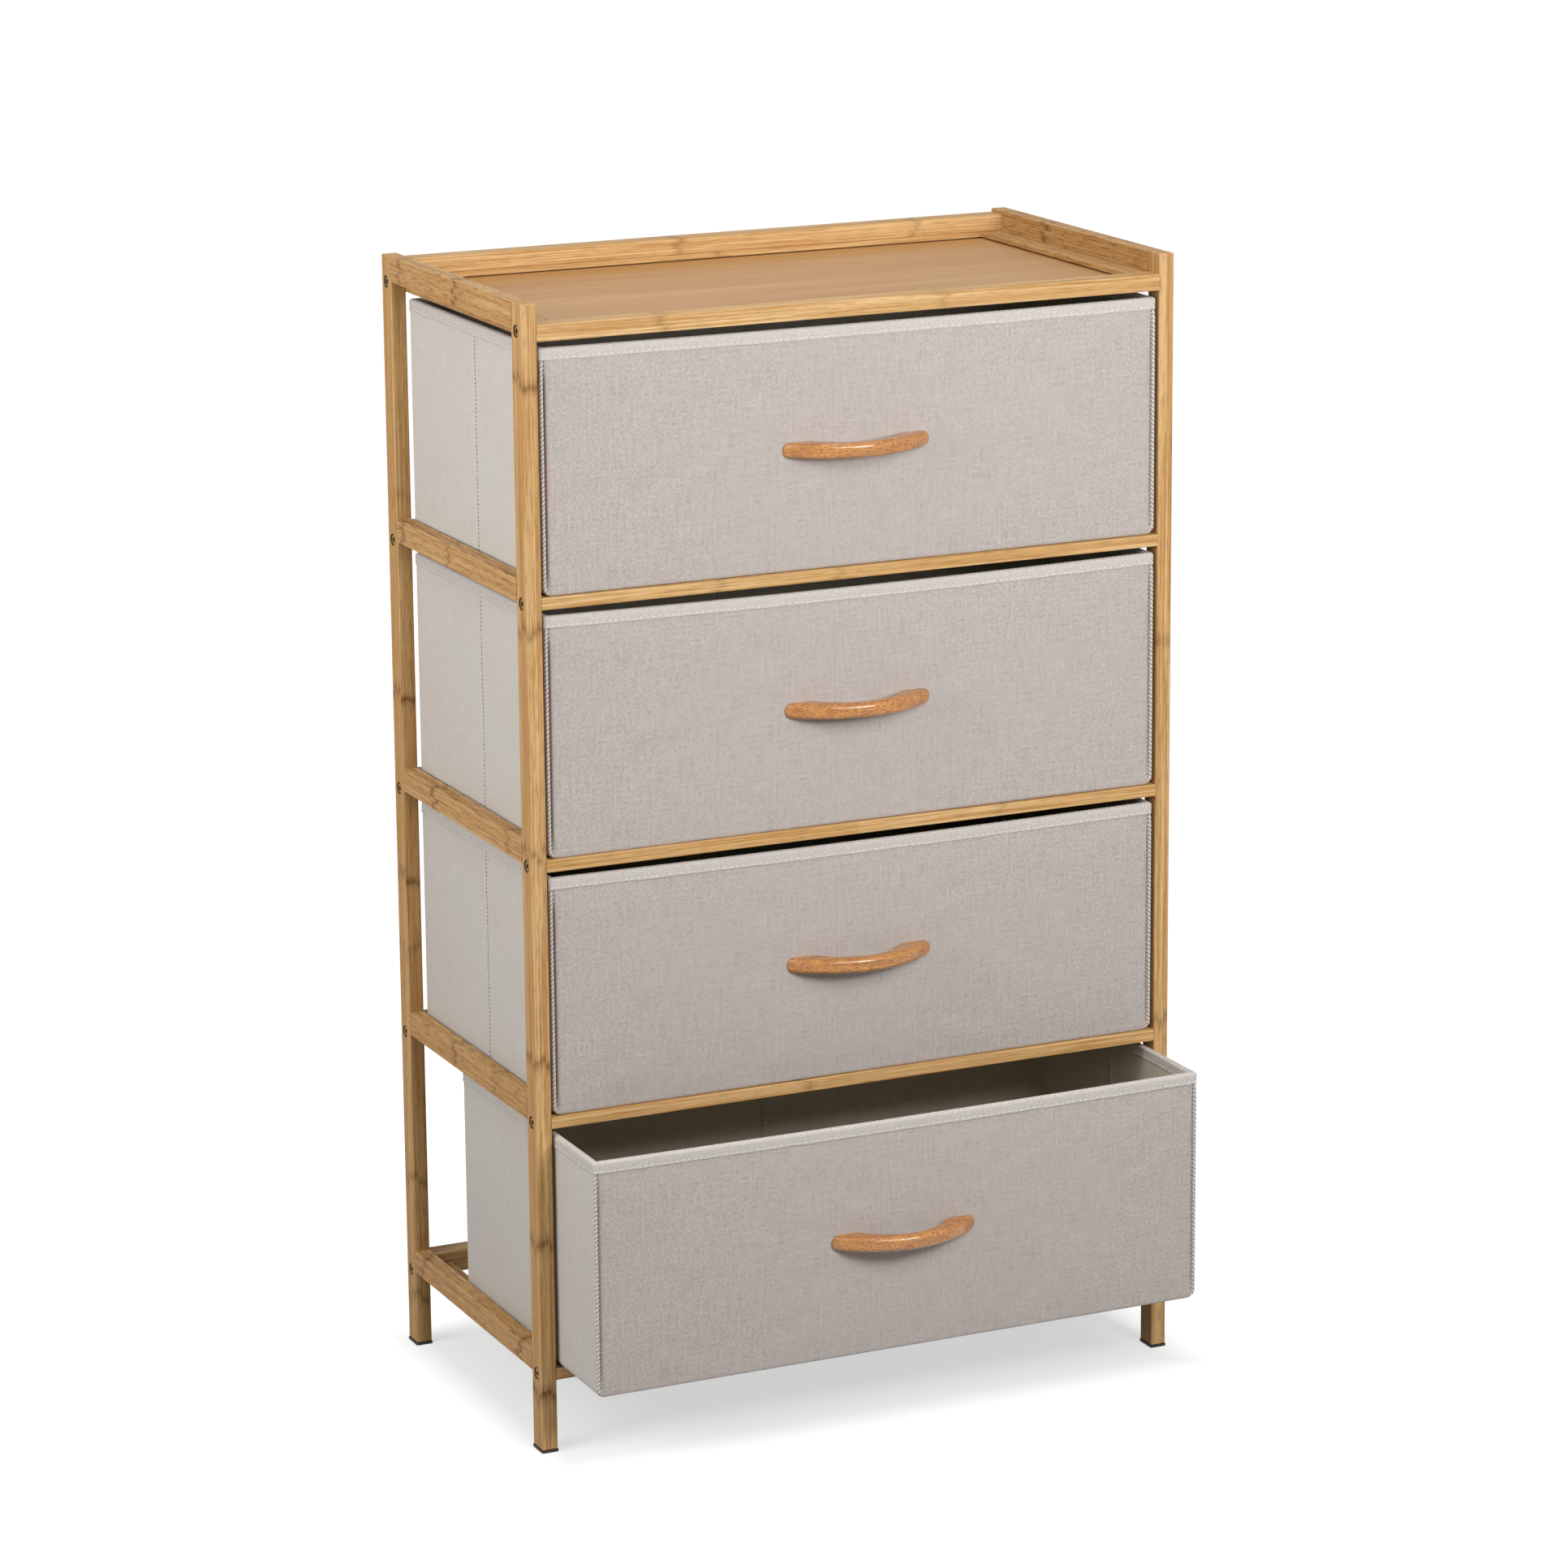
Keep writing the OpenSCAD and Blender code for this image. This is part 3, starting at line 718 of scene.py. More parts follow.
def side_shape(drawer, x_sign, y, z, seed, fine):
    """How far the side cloth stands in from its plane: it leans in to the fold, dips into the
    fold's seam, and wrinkles a little where the two halves meet the rim."""
    away = y - drawer.middle
    lean = FOLD_LEAN[drawer.k] * np.clip(1 - np.abs(away) / drawer.middle, 0, 1)
    inward = lean + bump(away, FOLD_SEAM)
    if fine:
        down = drawer.top - z
        # Each side takes its waves from a place of its own in the noise
        points = np.column_stack([x_sign * 900 + y * 0, y, z])
        gusset = bump(np.abs(away) - GUSSET_SLOPE * down, GUSSET)
        gusset = gusset * bell(down - GUSSET_PLACE[0], GUSSET_PLACE[1])
        creases = wrinkles(y, z, drawer.depth, drawer.top, seed * 31 + 5, SIDE_WRINKLES)
        inward = inward + (waves(points, SIDE_WAVES, seed) + creases - gusset) * held(drawer, z)
    return inward


def front_shape(drawer, x, z, edge, seed, fine):
    """How far a front or rear panel stands out from its plane: a shallow pillow that comes back
    to the plane at the rim, the seams and the handle's feet."""
    feet = np.maximum(np.abs(np.abs(x) - FOOT_X) - FOOT_HALF, 0)
    free = 1 - bell(np.hypot(feet, z - FOOT_Z), FOOT_HOLD)
    free = free * held(drawer, z) * (1 - bell(edge, CORNER_HOLD))
    out = PILLOW[0] * (1 - np.exp(-edge / PILLOW[1]))
    if fine:
        points = np.column_stack([x, np.full(len(x), seed * 100.0), z])
        out = out + waves(points, FRONT_WAVES, seed) + waves(points, FRONT_RIPPLES, seed + 3)
        place = x + drawer.half
        out = out + wrinkles(place, z, 2 * drawer.half, drawer.top, seed * 13 + 1, FRONT_WRINKLES)
    return out * free


def edge_distance(drawer, x, z, inset):
    """Distance of a point of the front panel from its sides and bottom edge."""
    half, radius = drawer.half - inset, CORNER - inset
    px, pz = np.abs(x) - (half - radius), CORNER - z
    corner = radius - np.hypot(np.maximum(px, 0), np.maximum(pz, 0))
    plain = np.minimum(half - np.abs(x), z - inset)
    return np.maximum(np.where((px > 0) & (pz > 0), corner, plain), 0)


def edge_normal(drawer, x, z, inset):
    """Direction from a point of the front panel to its nearest edge."""
    half, radius = drawer.half - inset, CORNER - inset
    px, pz = np.abs(x) - (half - radius), CORNER - z
    reach = np.maximum(np.hypot(px, pz), 1e-9)
    in_corner = (px > 0) & (pz > 0)
    to_side = (half - np.abs(x)) < (z - inset)
    nx = np.where(in_corner, px / reach, np.where(to_side, 1.0, 0.0)) * np.sign(x)
    nz = np.where(in_corner, -pz / reach, np.where(to_side, 0.0, -1.0))
    return nx, nz


def wrap_point(drawer, x, z, nx, nz, y, inset, fine):
    """Places points of the band that runs down one side, under the drawer and up the other."""
    y0, y1 = inset, drawer.depth - inset
    low, high = y - y0, y1 - y
    moved_low, drop_low = rounded(low)
    moved_high, drop_high = rounded(high)
    drop = drop_low + drop_high
    place_y = np.where(low < high, y0 + moved_low, y1 - moved_high)
    inward = np.zeros(len(x))
    for sign in (-1, 1):
        shape = side_shape(drawer, sign, y, z, drawer.k * 7 + (sign > 0), fine)
        inward = inward + np.where(nx * sign > 0, shape * nx**2, 0)
    ends = np.clip(np.minimum(low, high) / CORNER_HOLD, 0, 1)
    inward = inward * ends + drop
    return np.column_stack([x - nx * inward, place_y, z - nz * inward])


def panel_point(drawer, x, z, inset, rear, fine):
    """Places points of the front or the rear panel."""
    edge = edge_distance(drawer, x, z, inset)
    nx, nz = edge_normal(drawer, x, z, inset)
    moved, drop = rounded(edge)
    out = front_shape(drawer, x, z, edge, drawer.k * 5 + rear * 40, fine)
    if not rear:
        side_edge = drawer.half - inset - np.abs(x)
        out = out - bump(side_edge - SEAM_IN, SEAM_GROOVE) * held(drawer, z)
    shift = edge - moved
    y = inset + drop - out
    if rear:
        y = drawer.depth - inset - drop + REAR_PILLOW * out
    return np.column_stack([x + nx * shift, y, z + nz * shift])


def grid_faces(rows, columns, start):
    """Quads of a grid of points, row by row."""
    i = np.arange(rows - 1)[:, None] * columns + np.arange(columns - 1)[None, :] + start
    return np.stack([i, i + 1, i + columns + 1, i + columns], -1).reshape(-1, 4)


# Close rows and columns of a front or rear, in millimetres from its edges and from a seam's
# groove, and where its even columns and rows begin
EDGE_ROWS = (0.0, 0.7, 1.4)
GROOVE_ROWS = (-1.2, -0.6, 0.0, 0.6, 1.2, 2.2)
EVEN_COLUMNS = 8.5
EVEN_ROWS = 3.4

# Close rows of the band round the sides and bottom, in millimetres from its edges and its folds
BAND_EDGE = (0.0, 0.7, 1.4, 2.2, 4.5, 8.0)
BAND_FOLD = (4.0, 2.2, 1.3, 0.6, 0.0)


def panel_grid(drawer, inset, step):
    """Grid points of a front panel, between its two uprights, its bottom and its rim, with close
    rows and columns at its edges and in the seams' grooves."""
    points, _, upright = profile(drawer, inset, step)
    first = upright + ARC_STEPS // 2
    last = len(points) - 1 - first
    left, bottom, right = points[first::-1], points[first : last + 1], points[last:]
    half, tall = drawer.half - inset, drawer.top - inset
    sides = np.concatenate([EDGE_ROWS, SEAM_IN + np.array(GROOVE_ROWS)])
    even = np.linspace(EVEN_COLUMNS, 2 * half - EVEN_COLUMNS, len(bottom) - 2 * len(sides))
    u = np.concatenate([sides, even, 2 * half - sides[::-1]]) / (2 * half)
    v = np.concatenate([EDGE_ROWS, np.linspace(EVEN_ROWS, tall, len(left) - len(EDGE_ROWS))]) / tall
    top = np.column_stack([-half + u * 2 * half, np.full(len(u), drawer.top)])
    across, up = np.meshgrid(u, v)
    # Just above the bottom, its points give way to those of the rim
    across, rise = across[..., None], 1 - (1 - up[..., None]) ** 30
    patch = (1 - rise) * bottom + rise * top + (1 - across) * left[:, None] + across * right[:, None]
    patch = patch - (1 - rise) * ((1 - across) * bottom[0] + across * bottom[-1])
    patch = patch - rise * ((1 - across) * top[0] + across * top[-1])
    return patch, len(v), len(u)


def band_rows(drawer, inset, step):
    """Places from front to rear of the band's rows, close at its edges and beside its folds."""
    half = drawer.depth / 2 - inset
    start = BAND_EDGE[-1]
    even = np.linspace(start, half - start, max(1, round((half - 2 * start) / step)) + 1)
    front = np.concatenate([BAND_EDGE[:-1], even, half - np.array(BAND_FOLD)])
    return np.unique(np.round(np.concatenate([front, 2 * half - front]), 4)) + inset


def box_shell(drawer, inset, step, fine):
    """Points, faces, cloth coordinates and marks of a drawer's wall at an inset from its outside:
    the weave is 1 on the front and rear and 0 on the sides, which are painted paler as a painted
    sheen; the seam is 1 in the groove beside each welt, for its brown mark of thread and painted shade."""
    section, normals, _ = profile(drawer, inset, step)
    runs = np.concatenate([[0], np.cumsum(np.hypot(*np.diff(section, axis=0).T))])
    ys = band_rows(drawer, inset, step)
    rows, columns = len(ys), len(section)
    y = np.repeat(ys, columns)
    x, z = np.tile(section, (rows, 1)).T
    nx, nz = np.tile(normals, (rows, 1)).T
    wrap = wrap_point(drawer, x, z, nx, nz, y, inset, fine)
    verts = [lower_rim(drawer, wrap)]
    faces = [grid_faces(rows, columns, 0)[:, ::-1]]
    cloth = [np.column_stack([y, np.tile(runs, rows)])]
    weave, seam = [np.zeros(len(wrap))], [np.zeros(len(wrap))]
    for rear in (False, True):
        patch, rows, columns = panel_grid(drawer, inset, step)
        x, z = patch[..., 0].ravel(), patch[..., 1].ravel()
        quads = grid_faces(rows, columns, sum(len(v) for v in verts))
        verts.append(lower_rim(drawer, panel_point(drawer, x, z, inset, rear, fine)))
        faces.append(quads[:, ::-1] if rear else quads)
        cloth.append(np.column_stack([x, z]))
        weave.append(np.ones(len(x)))
        # The seam's brown mark is partly thread and partly painted shade of its groove
        beside = bell(drawer.half - inset - np.abs(x) - SEAM_IN, SEAM_SHADE_MARK) * held(drawer, z)
        tone = np.where(x > 0, SEAM_SHADE_TONES[1], SEAM_SHADE_TONES[0]) * drawer.seam_shade_tone
        seam.append(np.zeros(len(x)) if rear else tone * beside)
    marks = {"weave": np.concatenate(weave), "seam": np.concatenate(seam)}
    return np.concatenate(verts), np.concatenate(faces), np.concatenate(cloth), marks


def link_object(name, data):
    """Puts a new object into the scene."""
    made = bpy.data.objects.new(name, data)
    bpy.context.scene.collection.objects.link(made)
    return made


def set_cloth(mesh, corners):
    """Sets a mesh's cloth coordinates, in millimetres at each corner of its faces."""
    layer = mesh.uv_layers.new(name="Cloth")
    layer.data.foreach_set("uv", (np.asarray(corners) * MM).astype(np.float32).ravel())


def make_mesh(name, points, faces, cloth=None, marks=None):
    """Makes a smooth mesh object from points in metres, with the points' cloth coordinates as its
    UV map and a value at each point for every named mark."""
    mesh = bpy.data.meshes.new(name)
    mesh.from_pydata([tuple(p) for p in points], [], [tuple(int(i) for i in f) for f in faces])
    if cloth is not None:
        corners = np.zeros(len(mesh.loops), int)
        mesh.loops.foreach_get("vertex_index", corners)
        set_cloth(mesh, np.asarray(cloth)[corners])
    for mark, values in (marks or {}).items():
        attribute = mesh.attributes.new(mark, "FLOAT", "POINT")
        attribute.data.foreach_set("value", np.asarray(values, np.float32))
    mesh.polygons.foreach_set("use_smooth", [True] * len(mesh.polygons))
    return link_object(name, mesh)


def cloth_place(tree, scale, turn=0.0):
    """Cloth coordinates from the UV map, turned and in scale units per metre."""
    place = node(tree, "ShaderNodeUVMap", uv_map="Cloth")
    turned = node(tree, "ShaderNodeMapping", {"Vector": place, "Rotation": (0, 0, turn)})
    return node(tree, "ShaderNodeVectorMath", {0: turned, 1: scale}, operation="MULTIPLY")


def cloth_noise(tree, scale, detail=2.0):
    """Noise on the cloth, with a scale per metre along and across it."""
    place = cloth_place(tree, scale + (1,))
    return node(tree, "ShaderNodeTexNoise", {"Vector": place, "Scale": 1.0, "Detail": detail})


def thread_wave(tree, pitch, turn):
    """A sine across parallel threads at a pitch, from -1 to 1."""
    place = cloth_place(tree, (math.tau / pitch,) * 3, turn)
    across = node(tree, "ShaderNodeSeparateXYZ", {0: place})
    return node(tree, "ShaderNodeMath", {0: across}, operation="SINE")


def heather_twill(cloth):
    """Polyester twill of two yarns over board: pale and brown yarns cross in fine diagonals that
    fall to the right on the fronts, thicker yarns show as faint streaks, and the sides are painted
    paler and a touch cooler, a painted sheen for their grazing angle. Dull and slightly furry, and
    brown in the seam beside each welt, partly thread and partly painted shade of its groove."""
    made, tree = new_material("Heather polyester twill")
    falling = thread_wave(tree, cloth.twill, math.radians(-50.6))
    rising = thread_wave(tree, cloth.twill, math.radians(47))
    upright = cloth_noise(tree, (420, 40))
    level = cloth_noise(tree, (40, 420))
    # Single yarns are 0.3 mm wide: their speckle is drawn 2.4 mm wide so that it shows
    speckle = cloth_noise(tree, (420, 420))
    front = weighted(
        tree, -0.04, (falling, 0.13), (speckle, 0.62), (rising, 0.07), (upright, 0.27), (level, 0.21)
    )
    # The sides get a smaller share of dark yarns than the fronts: a painted sheen for their grazing angle
    crossed = node(tree, "ShaderNodeMath", {0: upright, 1: level}, operation="MULTIPLY")
    side = weighted(tree, 0.0, (crossed, 0.35), (speckle, 0.3))
    weave = node(tree, "ShaderNodeAttribute", attribute_name="weave").outputs["Fac"]
    share = node(tree, "ShaderNodeMix", {0: weave, 2: side, 3: front}, data_type="FLOAT")
    yarns = laid_over(tree, cloth.cover, (share, (0, 1), (0, 1), cloth.cover_dark))
    # The sides are tinted a touch cooler than the fronts as painted light, and the tone of the cloth
    # drifts a little in wide clouds
    painted_side_tint = laid_over(tree, linear("#FDFEF8"), (weave, (0, 1), (0, 1), linear("#FFFBFA")))
    clouds = laid_over(tree, painted_side_tint, (cloth_noise(tree, (9, 12)), (0.35, 0.65), (0, 1), linear("#FCFBF8")))
    toned = node(tree, "ShaderNodeVectorMath", {0: yarns, 1: clouds}, operation="MULTIPLY")
    # Brown in the seam's groove beside each welt: thread and painted shade
    seam = node(tree, "ShaderNodeAttribute", attribute_name="seam").outputs["Fac"]
    base = laid_over(tree, toned, (seam, (0, 1), (0, 1), cloth.dark_thread_and_seam_shade))
    raised = node(tree, "ShaderNodeMath", {0: speckle, 1: weave}, operation="MULTIPLY")
    fur = {"Sheen Weight": 0.1, "Specular IOR Level": 0.25}
    finish_surface(tree, base, (upright, 0.82, 0.95), (raised, 0.00015, 0.3), fur)
    return made


def corded_welt(cloth):
    """Cord of two yarns twisted over the corner seam: pale and brown turns one after the other,
    with painted shade darkest in the grooves between them."""
    made, tree = new_material("Twisted welt cord")
    # Real turns are 1.6 mm long: drawn 2.9 mm long so that they show
    turns = thread_wave(tree, 0.0029, math.radians(-38))
    fuzz = cloth_noise(tree, (700, 700))
    worn = weighted(tree, turns, (fuzz, 0.9))
    # The dark part of each turn is partly brown yarn, partly painted shade in its groove
    base = laid_over(tree, cloth.cover, (worn, (-0.3, 1.5), (0, 0.95), cloth.cover_dark))
    finish_surface(tree, base, (fuzz, 0.75, 0.92), (turns, 0.0003, -0.4))
    return made


def dotted_lining(cloth):
    """Non-woven lining embossed with dots: olive grey, dull, with paler raised dots."""
    made, tree = new_material("Embossed lining fleece")
    # Real dots are 1.4 mm apart: drawn 3.4 mm apart so that they show
    rising, falling = (thread_wave(tree, 0.0034, math.radians(turn)) for turn in (45, -45))
    dots = node(tree, "ShaderNodeMath", {0: rising, 1: falling}, operation="MULTIPLY")
    fuzz = cloth_noise(tree, (600, 600), 3.0)
    raised = node(tree, "ShaderNodeMapRange", {0: dots, 1: 0.05, 2: 0.8, 4: 1.3})
    share = node(tree, "ShaderNodeMath", {0: raised, 1: fuzz}, operation="MULTIPLY")
    base = laid_over(tree, cloth.lining, (share, (0, 1), (0, 1), cloth.lining_dot))
    finish_surface(tree, base, (fuzz, 0.8, 0.95), (dots, 0.0002, 0.4))
    return made


def herringbone_tape(cloth):
    """Woven cotton herringbone tape: whitish yarns that slant one way and back in chevrons
    across its width, with painted grey shade in the spaces between them."""
    made, tree = new_material("Cotton herringbone tape")
    place = node(tree, "ShaderNodeSeparateXYZ", {0: cloth_place(tree, (1, 1, 1))}).outputs
    # Real yarns are 1.6 mm apart in rows 3.4 mm high: drawn 2.7 mm apart in rows 4.5 mm high
    slant = node(tree, "ShaderNodeMath", {0: place[1], 1: 0.0045}, operation="PINGPONG")
    along = weighted(tree, place[0], (slant, -1.0))
    phase = node(tree, "ShaderNodeMath", {0: along, 1: math.tau / 0.0027}, operation="MULTIPLY")
    wave = node(tree, "ShaderNodeMath", {0: phase}, operation="SINE")
    fuzz = cloth_noise(tree, (300, 300))
    # Painted grey shade between the yarns
    gap_shade = node(tree, "ShaderNodeMapRange", {0: wave, 1: -0.9, 2: 0.9, 3: 0.54, 4: 0.1})
    share = weighted(tree, gap_shade, (fuzz, 0.3))
    base = laid_over(tree, cloth.tape, (share, (0, 1), (0, 1), cloth.tape_gap_shade))
    finish_surface(tree, base, (fuzz, 0.78, 0.92), (wave, 0.0003, 0.45))
    return made


def spun_thread(name, pale, shade):
    """Spun polyester thread: twisted, with painted shade in the twist that runs paler and darker along
    it.
    """
    made, tree = new_material(name)
    twist = piece_noise(tree, 900.0, 2.0)
    # Painted shade in the twist
    base = laid_over(tree, pale, (twist, (0, 1), (0, 0.55), shade))
    finish_surface(tree, base, (twist, 0.6, 0.85))
    return made


def dress_drawer(made, drawer, material, replaced=()):
    """Gives a piece of a drawer its material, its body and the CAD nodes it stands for."""
    made.data.materials.clear()
    made.data.materials.append(material)
    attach(made, drawer.body)
    if replaced:
        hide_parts(*(f"{drawer.body}_{name}" for name in replaced))


def thicken(made, skin):
    """Welds the seams of a wall's mesh and gives it the thickness of its cloth, inwards."""
    work = bmesh.new()
    work.from_mesh(made.data)
    bmesh.ops.remove_doubles(work, verts=work.verts, dist=WELD)
    work.to_mesh(made.data)
    work.free()
    wall = made.modifiers.new("Cloth thickness", "SOLIDIFY")
    wall.thickness = skin * MM
    wall.offset = -1.0
    wall.use_even_offset = True


class SHELF_OT_drawer_covers(bpy.types.Operator):
    """Builds each drawer's fabric cover over its boards: pillowed front, folding sides, soft rim"""

    bl_idname = "shelf.drawer_covers"
    bl_label = "Build Drawer Covers"

    def execute(self, context):
        twill = heather_twill(context.scene.shelf_cloth)
        for k in DRAWERS:
            drawer = Drawer(k)
            points, faces, cloth, marks = box_shell(drawer, 0.0, COVER_STEP, True)
            made = make_mesh(f"drawer_{k}_fabric_cover", drawer.place(points), faces, cloth, marks)
            thicken(made, SKIN)
            dress_drawer(made, drawer, twill, ("cover", "boards"))
        return {"FINISHED"}


class SHELF_OT_drawer_linings(bpy.types.Operator):
    """Builds each drawer's dark lining inside its boards"""

    bl_idname = "shelf.drawer_linings"
    bl_label = "Build Drawer Linings"

    def execute(self, context):
        fleece = dotted_lining(context.scene.shelf_cloth)
        for k in DRAWERS:
            drawer = Drawer(k)
            points, faces, cloth, _ = box_shell(drawer, LINING_INSET, LINING_STEP, False)
            made = make_mesh(f"drawer_{k}_fleece_lining", drawer.place(points), faces[:, ::-1], cloth)
            thicken(made, LINING_SKIN)
            dress_drawer(made, drawer, fleece, ("lining",))
        return {"FINISHED"}


# Steps along the rim, and radii of the corners of its outer and inner side, in millimetres
RIM_STEP = 6.0
RIM_CORNERS = (2.2, 0.8)


def plan_loop(half, y0, y1, radius, parts):
    """A rounded rectangle in plan, from the right end of the front round by the rear. Its long
    and short runs are cut into the given parts."""
    corners = [(half, y0, -90), (half, y1, 0), (-half, y1, 90), (-half, y0, 180)]
    signs = [(-1, 1), (-1, -1), (1, -1), (1, 1)]
    across, along = parts
    arcs = []
    for (cx, cy, start), (sx, sy) in zip(corners, signs):
        centre = np.array([cx + sx * radius, cy + sy * radius])
        angles = np.radians(start + np.linspace(0, 90, ARC_STEPS + 1))
        arcs.append(centre + radius * np.column_stack([np.cos(angles), np.sin(angles)]))
    loop = []
    for i, arc in enumerate(arcs):
        following = arcs[(i + 1) % len(arcs)][0]
        run = np.linspace(arc[-1], following, (along if i % 2 == 0 else across) + 1)
        loop += [arc[:-1], run[:-1]]
    return np.concatenate(loop)


def rim_loops(drawer):
    """Outer and inner plan loops of the rim's wall, with the same number of points."""
    parts = (round(2 * drawer.half / RIM_STEP), round(drawer.depth / RIM_STEP))
    outer_loop = plan_loop(drawer.half, 0, drawer.depth, RIM_CORNERS[0], parts)
    inner_loop = plan_loop(drawer.half - WALL, WALL, drawer.depth - WALL, RIM_CORNERS[1], parts)
    return outer_loop, inner_loop


def lean_at(drawer, x, y):
    """How far the side walls lean in at a place of the rim."""
    on_side = np.abs(np.abs(x) - drawer.half) < WALL + 0.5
    ends = np.clip(np.minimum(y, drawer.depth - y) / CORNER_HOLD, 0, 1)
    lean = FOLD_LEAN[drawer.k] * np.clip(1 - np.abs(y - drawer.middle) / drawer.middle, 0, 1)
    return np.where(on_side, np.sign(x) * lean * ends, 0)


# Height of the tape's arch over the rim, and how far under its top it comes free and over which
# height, in millimetres
TAPE_ARCH = 2.4
TAPE_FREE = (3.0, 5.0)

# Heights of the tape's section from its hem up to its arch, in millimetres from the top
TAPE_LEVELS = (-TAPE_HEIGHT, -9.2, -TAPE_SEAM, -7.2, -5.5, -3.8)


def tape_section():
    """Section of the tape folded over the rim: (offset from the wall's middle, height from the
    top), round the outer side, over the rim and back along its inner side."""
    out = WALL / 2 + TAPE
    turn = np.radians(np.linspace(0, 180, 11))
    arch = [(out * math.cos(a), -TAPE_ARCH + TAPE_ARCH * math.sin(a)) for a in turn]
    outside = [(out, z) for z in TAPE_LEVELS] + arch + [(-out, z) for z in reversed(TAPE_LEVELS)]
    inside = []
    for o, z in reversed(outside):
        inside.append((o * (out - TAPE) / out, z - TAPE if z >= -TAPE_ARCH else z))
    return outside + inside


def tape_points(drawer, outer_loop, inner_loop, section):
    """Sweeps a section of the tape round the rim, with the small waves of a hand-sewn tape."""
    middle = (outer_loop + inner_loop) / 2
    across = (outer_loop - inner_loop) / WALL
    runs = np.concatenate([[0], np.cumsum(np.hypot(*np.diff(outer_loop, axis=0).T))])
    seed = drawer.k * 11
    rows = []
    for offset, height in section:
        low = np.clip((-height - TAPE_FREE[0]) / TAPE_FREE[1], 0, 1)
        pressed = bump(height + TAPE_SEAM, SEWN_DIP) - bump(height + TAPE_HEIGHT, HEM_LIFT)
        flat = runs * 0
        side = np.sign(offset)
        wave = waves(np.column_stack([runs, flat, flat + side * 50]), TAPE_WAVES, seed)
        hem = waves(np.column_stack([runs, flat + 9, flat]), HEM_WAVES, seed + 1) * low**2
        xy = middle + across * (offset + side * (wave * low - pressed))[:, None]
        xy[:, 0] -= lean_at(drawer, xy[:, 0], xy[:, 1])
        z = drawer.height + height + hem
        z = z - rim_drop(drawer, xy[:, 0], xy[:, 1])
        rows.append(np.column_stack([xy, z]))
    return np.array(rows), runs


def tape_faces(outer_loop, section, runs):
    """Faces of the tape's closed sweep, and the cloth coordinates of their corners."""
    cross = np.concatenate([[0], np.cumsum(np.hypot(*np.diff(np.array(section), axis=0).T))])
    count = len(outer_loop)
    faces, cloth = [], []
    for r in range(len(section)):
        s = (r + 1) % len(section)
        for c in range(count):
            d = (c + 1) % count
            faces.append((r * count + c, r * count + d, s * count + d, s * count + c))
            u0, u1 = runs[c], runs[c] + math.dist(outer_loop[c], outer_loop[d])
            v0, v1 = cross[r], cross[r] + math.dist(section[r], section[s])
            cloth += [(u0, v0), (u1, v0), (u1, v1), (u0, v1)]
    return faces, np.array(cloth)


class SHELF_OT_drawer_bindings(bpy.types.Operator):
    """Builds the herringbone tape folded over each drawer's rim"""

    bl_idname = "shelf.drawer_bindings"
    bl_label = "Build Drawer Bindings"

    def execute(self, context):
        cotton = herringbone_tape(context.scene.shelf_cloth)
        section = tape_section()
        for k in DRAWERS:
            drawer = Drawer(k)
            outer_loop, inner_loop = rim_loops(drawer)
            rows, runs = tape_points(drawer, outer_loop, inner_loop, section)
            faces, cloth = tape_faces(outer_loop, section, runs)
            points = drawer.place(rows.reshape(-1, 3))
            made = make_mesh(f"drawer_{k}_rim_tape", points, faces)
            set_cloth(made.data, cloth)
            dress_drawer(made, drawer, cotton, ("binding",))
        return {"FINISHED"}


def join(objects, name):
    """Joins mesh objects into one and turns its faces outwards."""
    work = bmesh.new()
    for obj in objects:
        work.from_mesh(obj.data)
    bmesh.ops.recalc_face_normals(work, faces=work.faces)
    whole = objects[0]
    work.to_mesh(whole.data)
    work.free()
    whole.name = whole.data.name = name
    for obj in objects[1:]:
        bpy.data.objects.remove(obj)
    return whole


def bead(path, normals, half_width, proud, drawer):
    """A closed bead of cord along a path in the front plane, tapering to a point at its ends."""
    count = len(path)
    runs = np.concatenate([[0], np.cumsum(np.linalg.norm(np.diff(path, axis=0), axis=1))])
    points, cloth = [], []
    for j in range(BEAD_SIDES):
        a = math.tau * j / BEAD_SIDES
        for i in range(count):
            end = min(1.0, WELT_TIP + min(runs[i], runs[-1] - runs[i]) / WELT_TAPER)
            sideways = normals[i] * half_width * end * math.cos(a)
            points.append(path[i] + sideways + np.array([0, -proud * end * math.sin(a), 0]))
            cloth.append((runs[i], a * (half_width + proud) / 2))
    faces = []
    for j in range(BEAD_SIDES):
        n = (j + 1) % BEAD_SIDES
        for i in range(count - 1):
            faces.append((j * count + i, n * count + i, n * count + i + 1, j * count + i + 1))
    for i, turn in ((0, -1), (count - 1, 1)):
        faces.append([j * count + i for j in range(BEAD_SIDES)][::turn])
    return make_mesh("welt", drawer.place(points), faces, cloth)


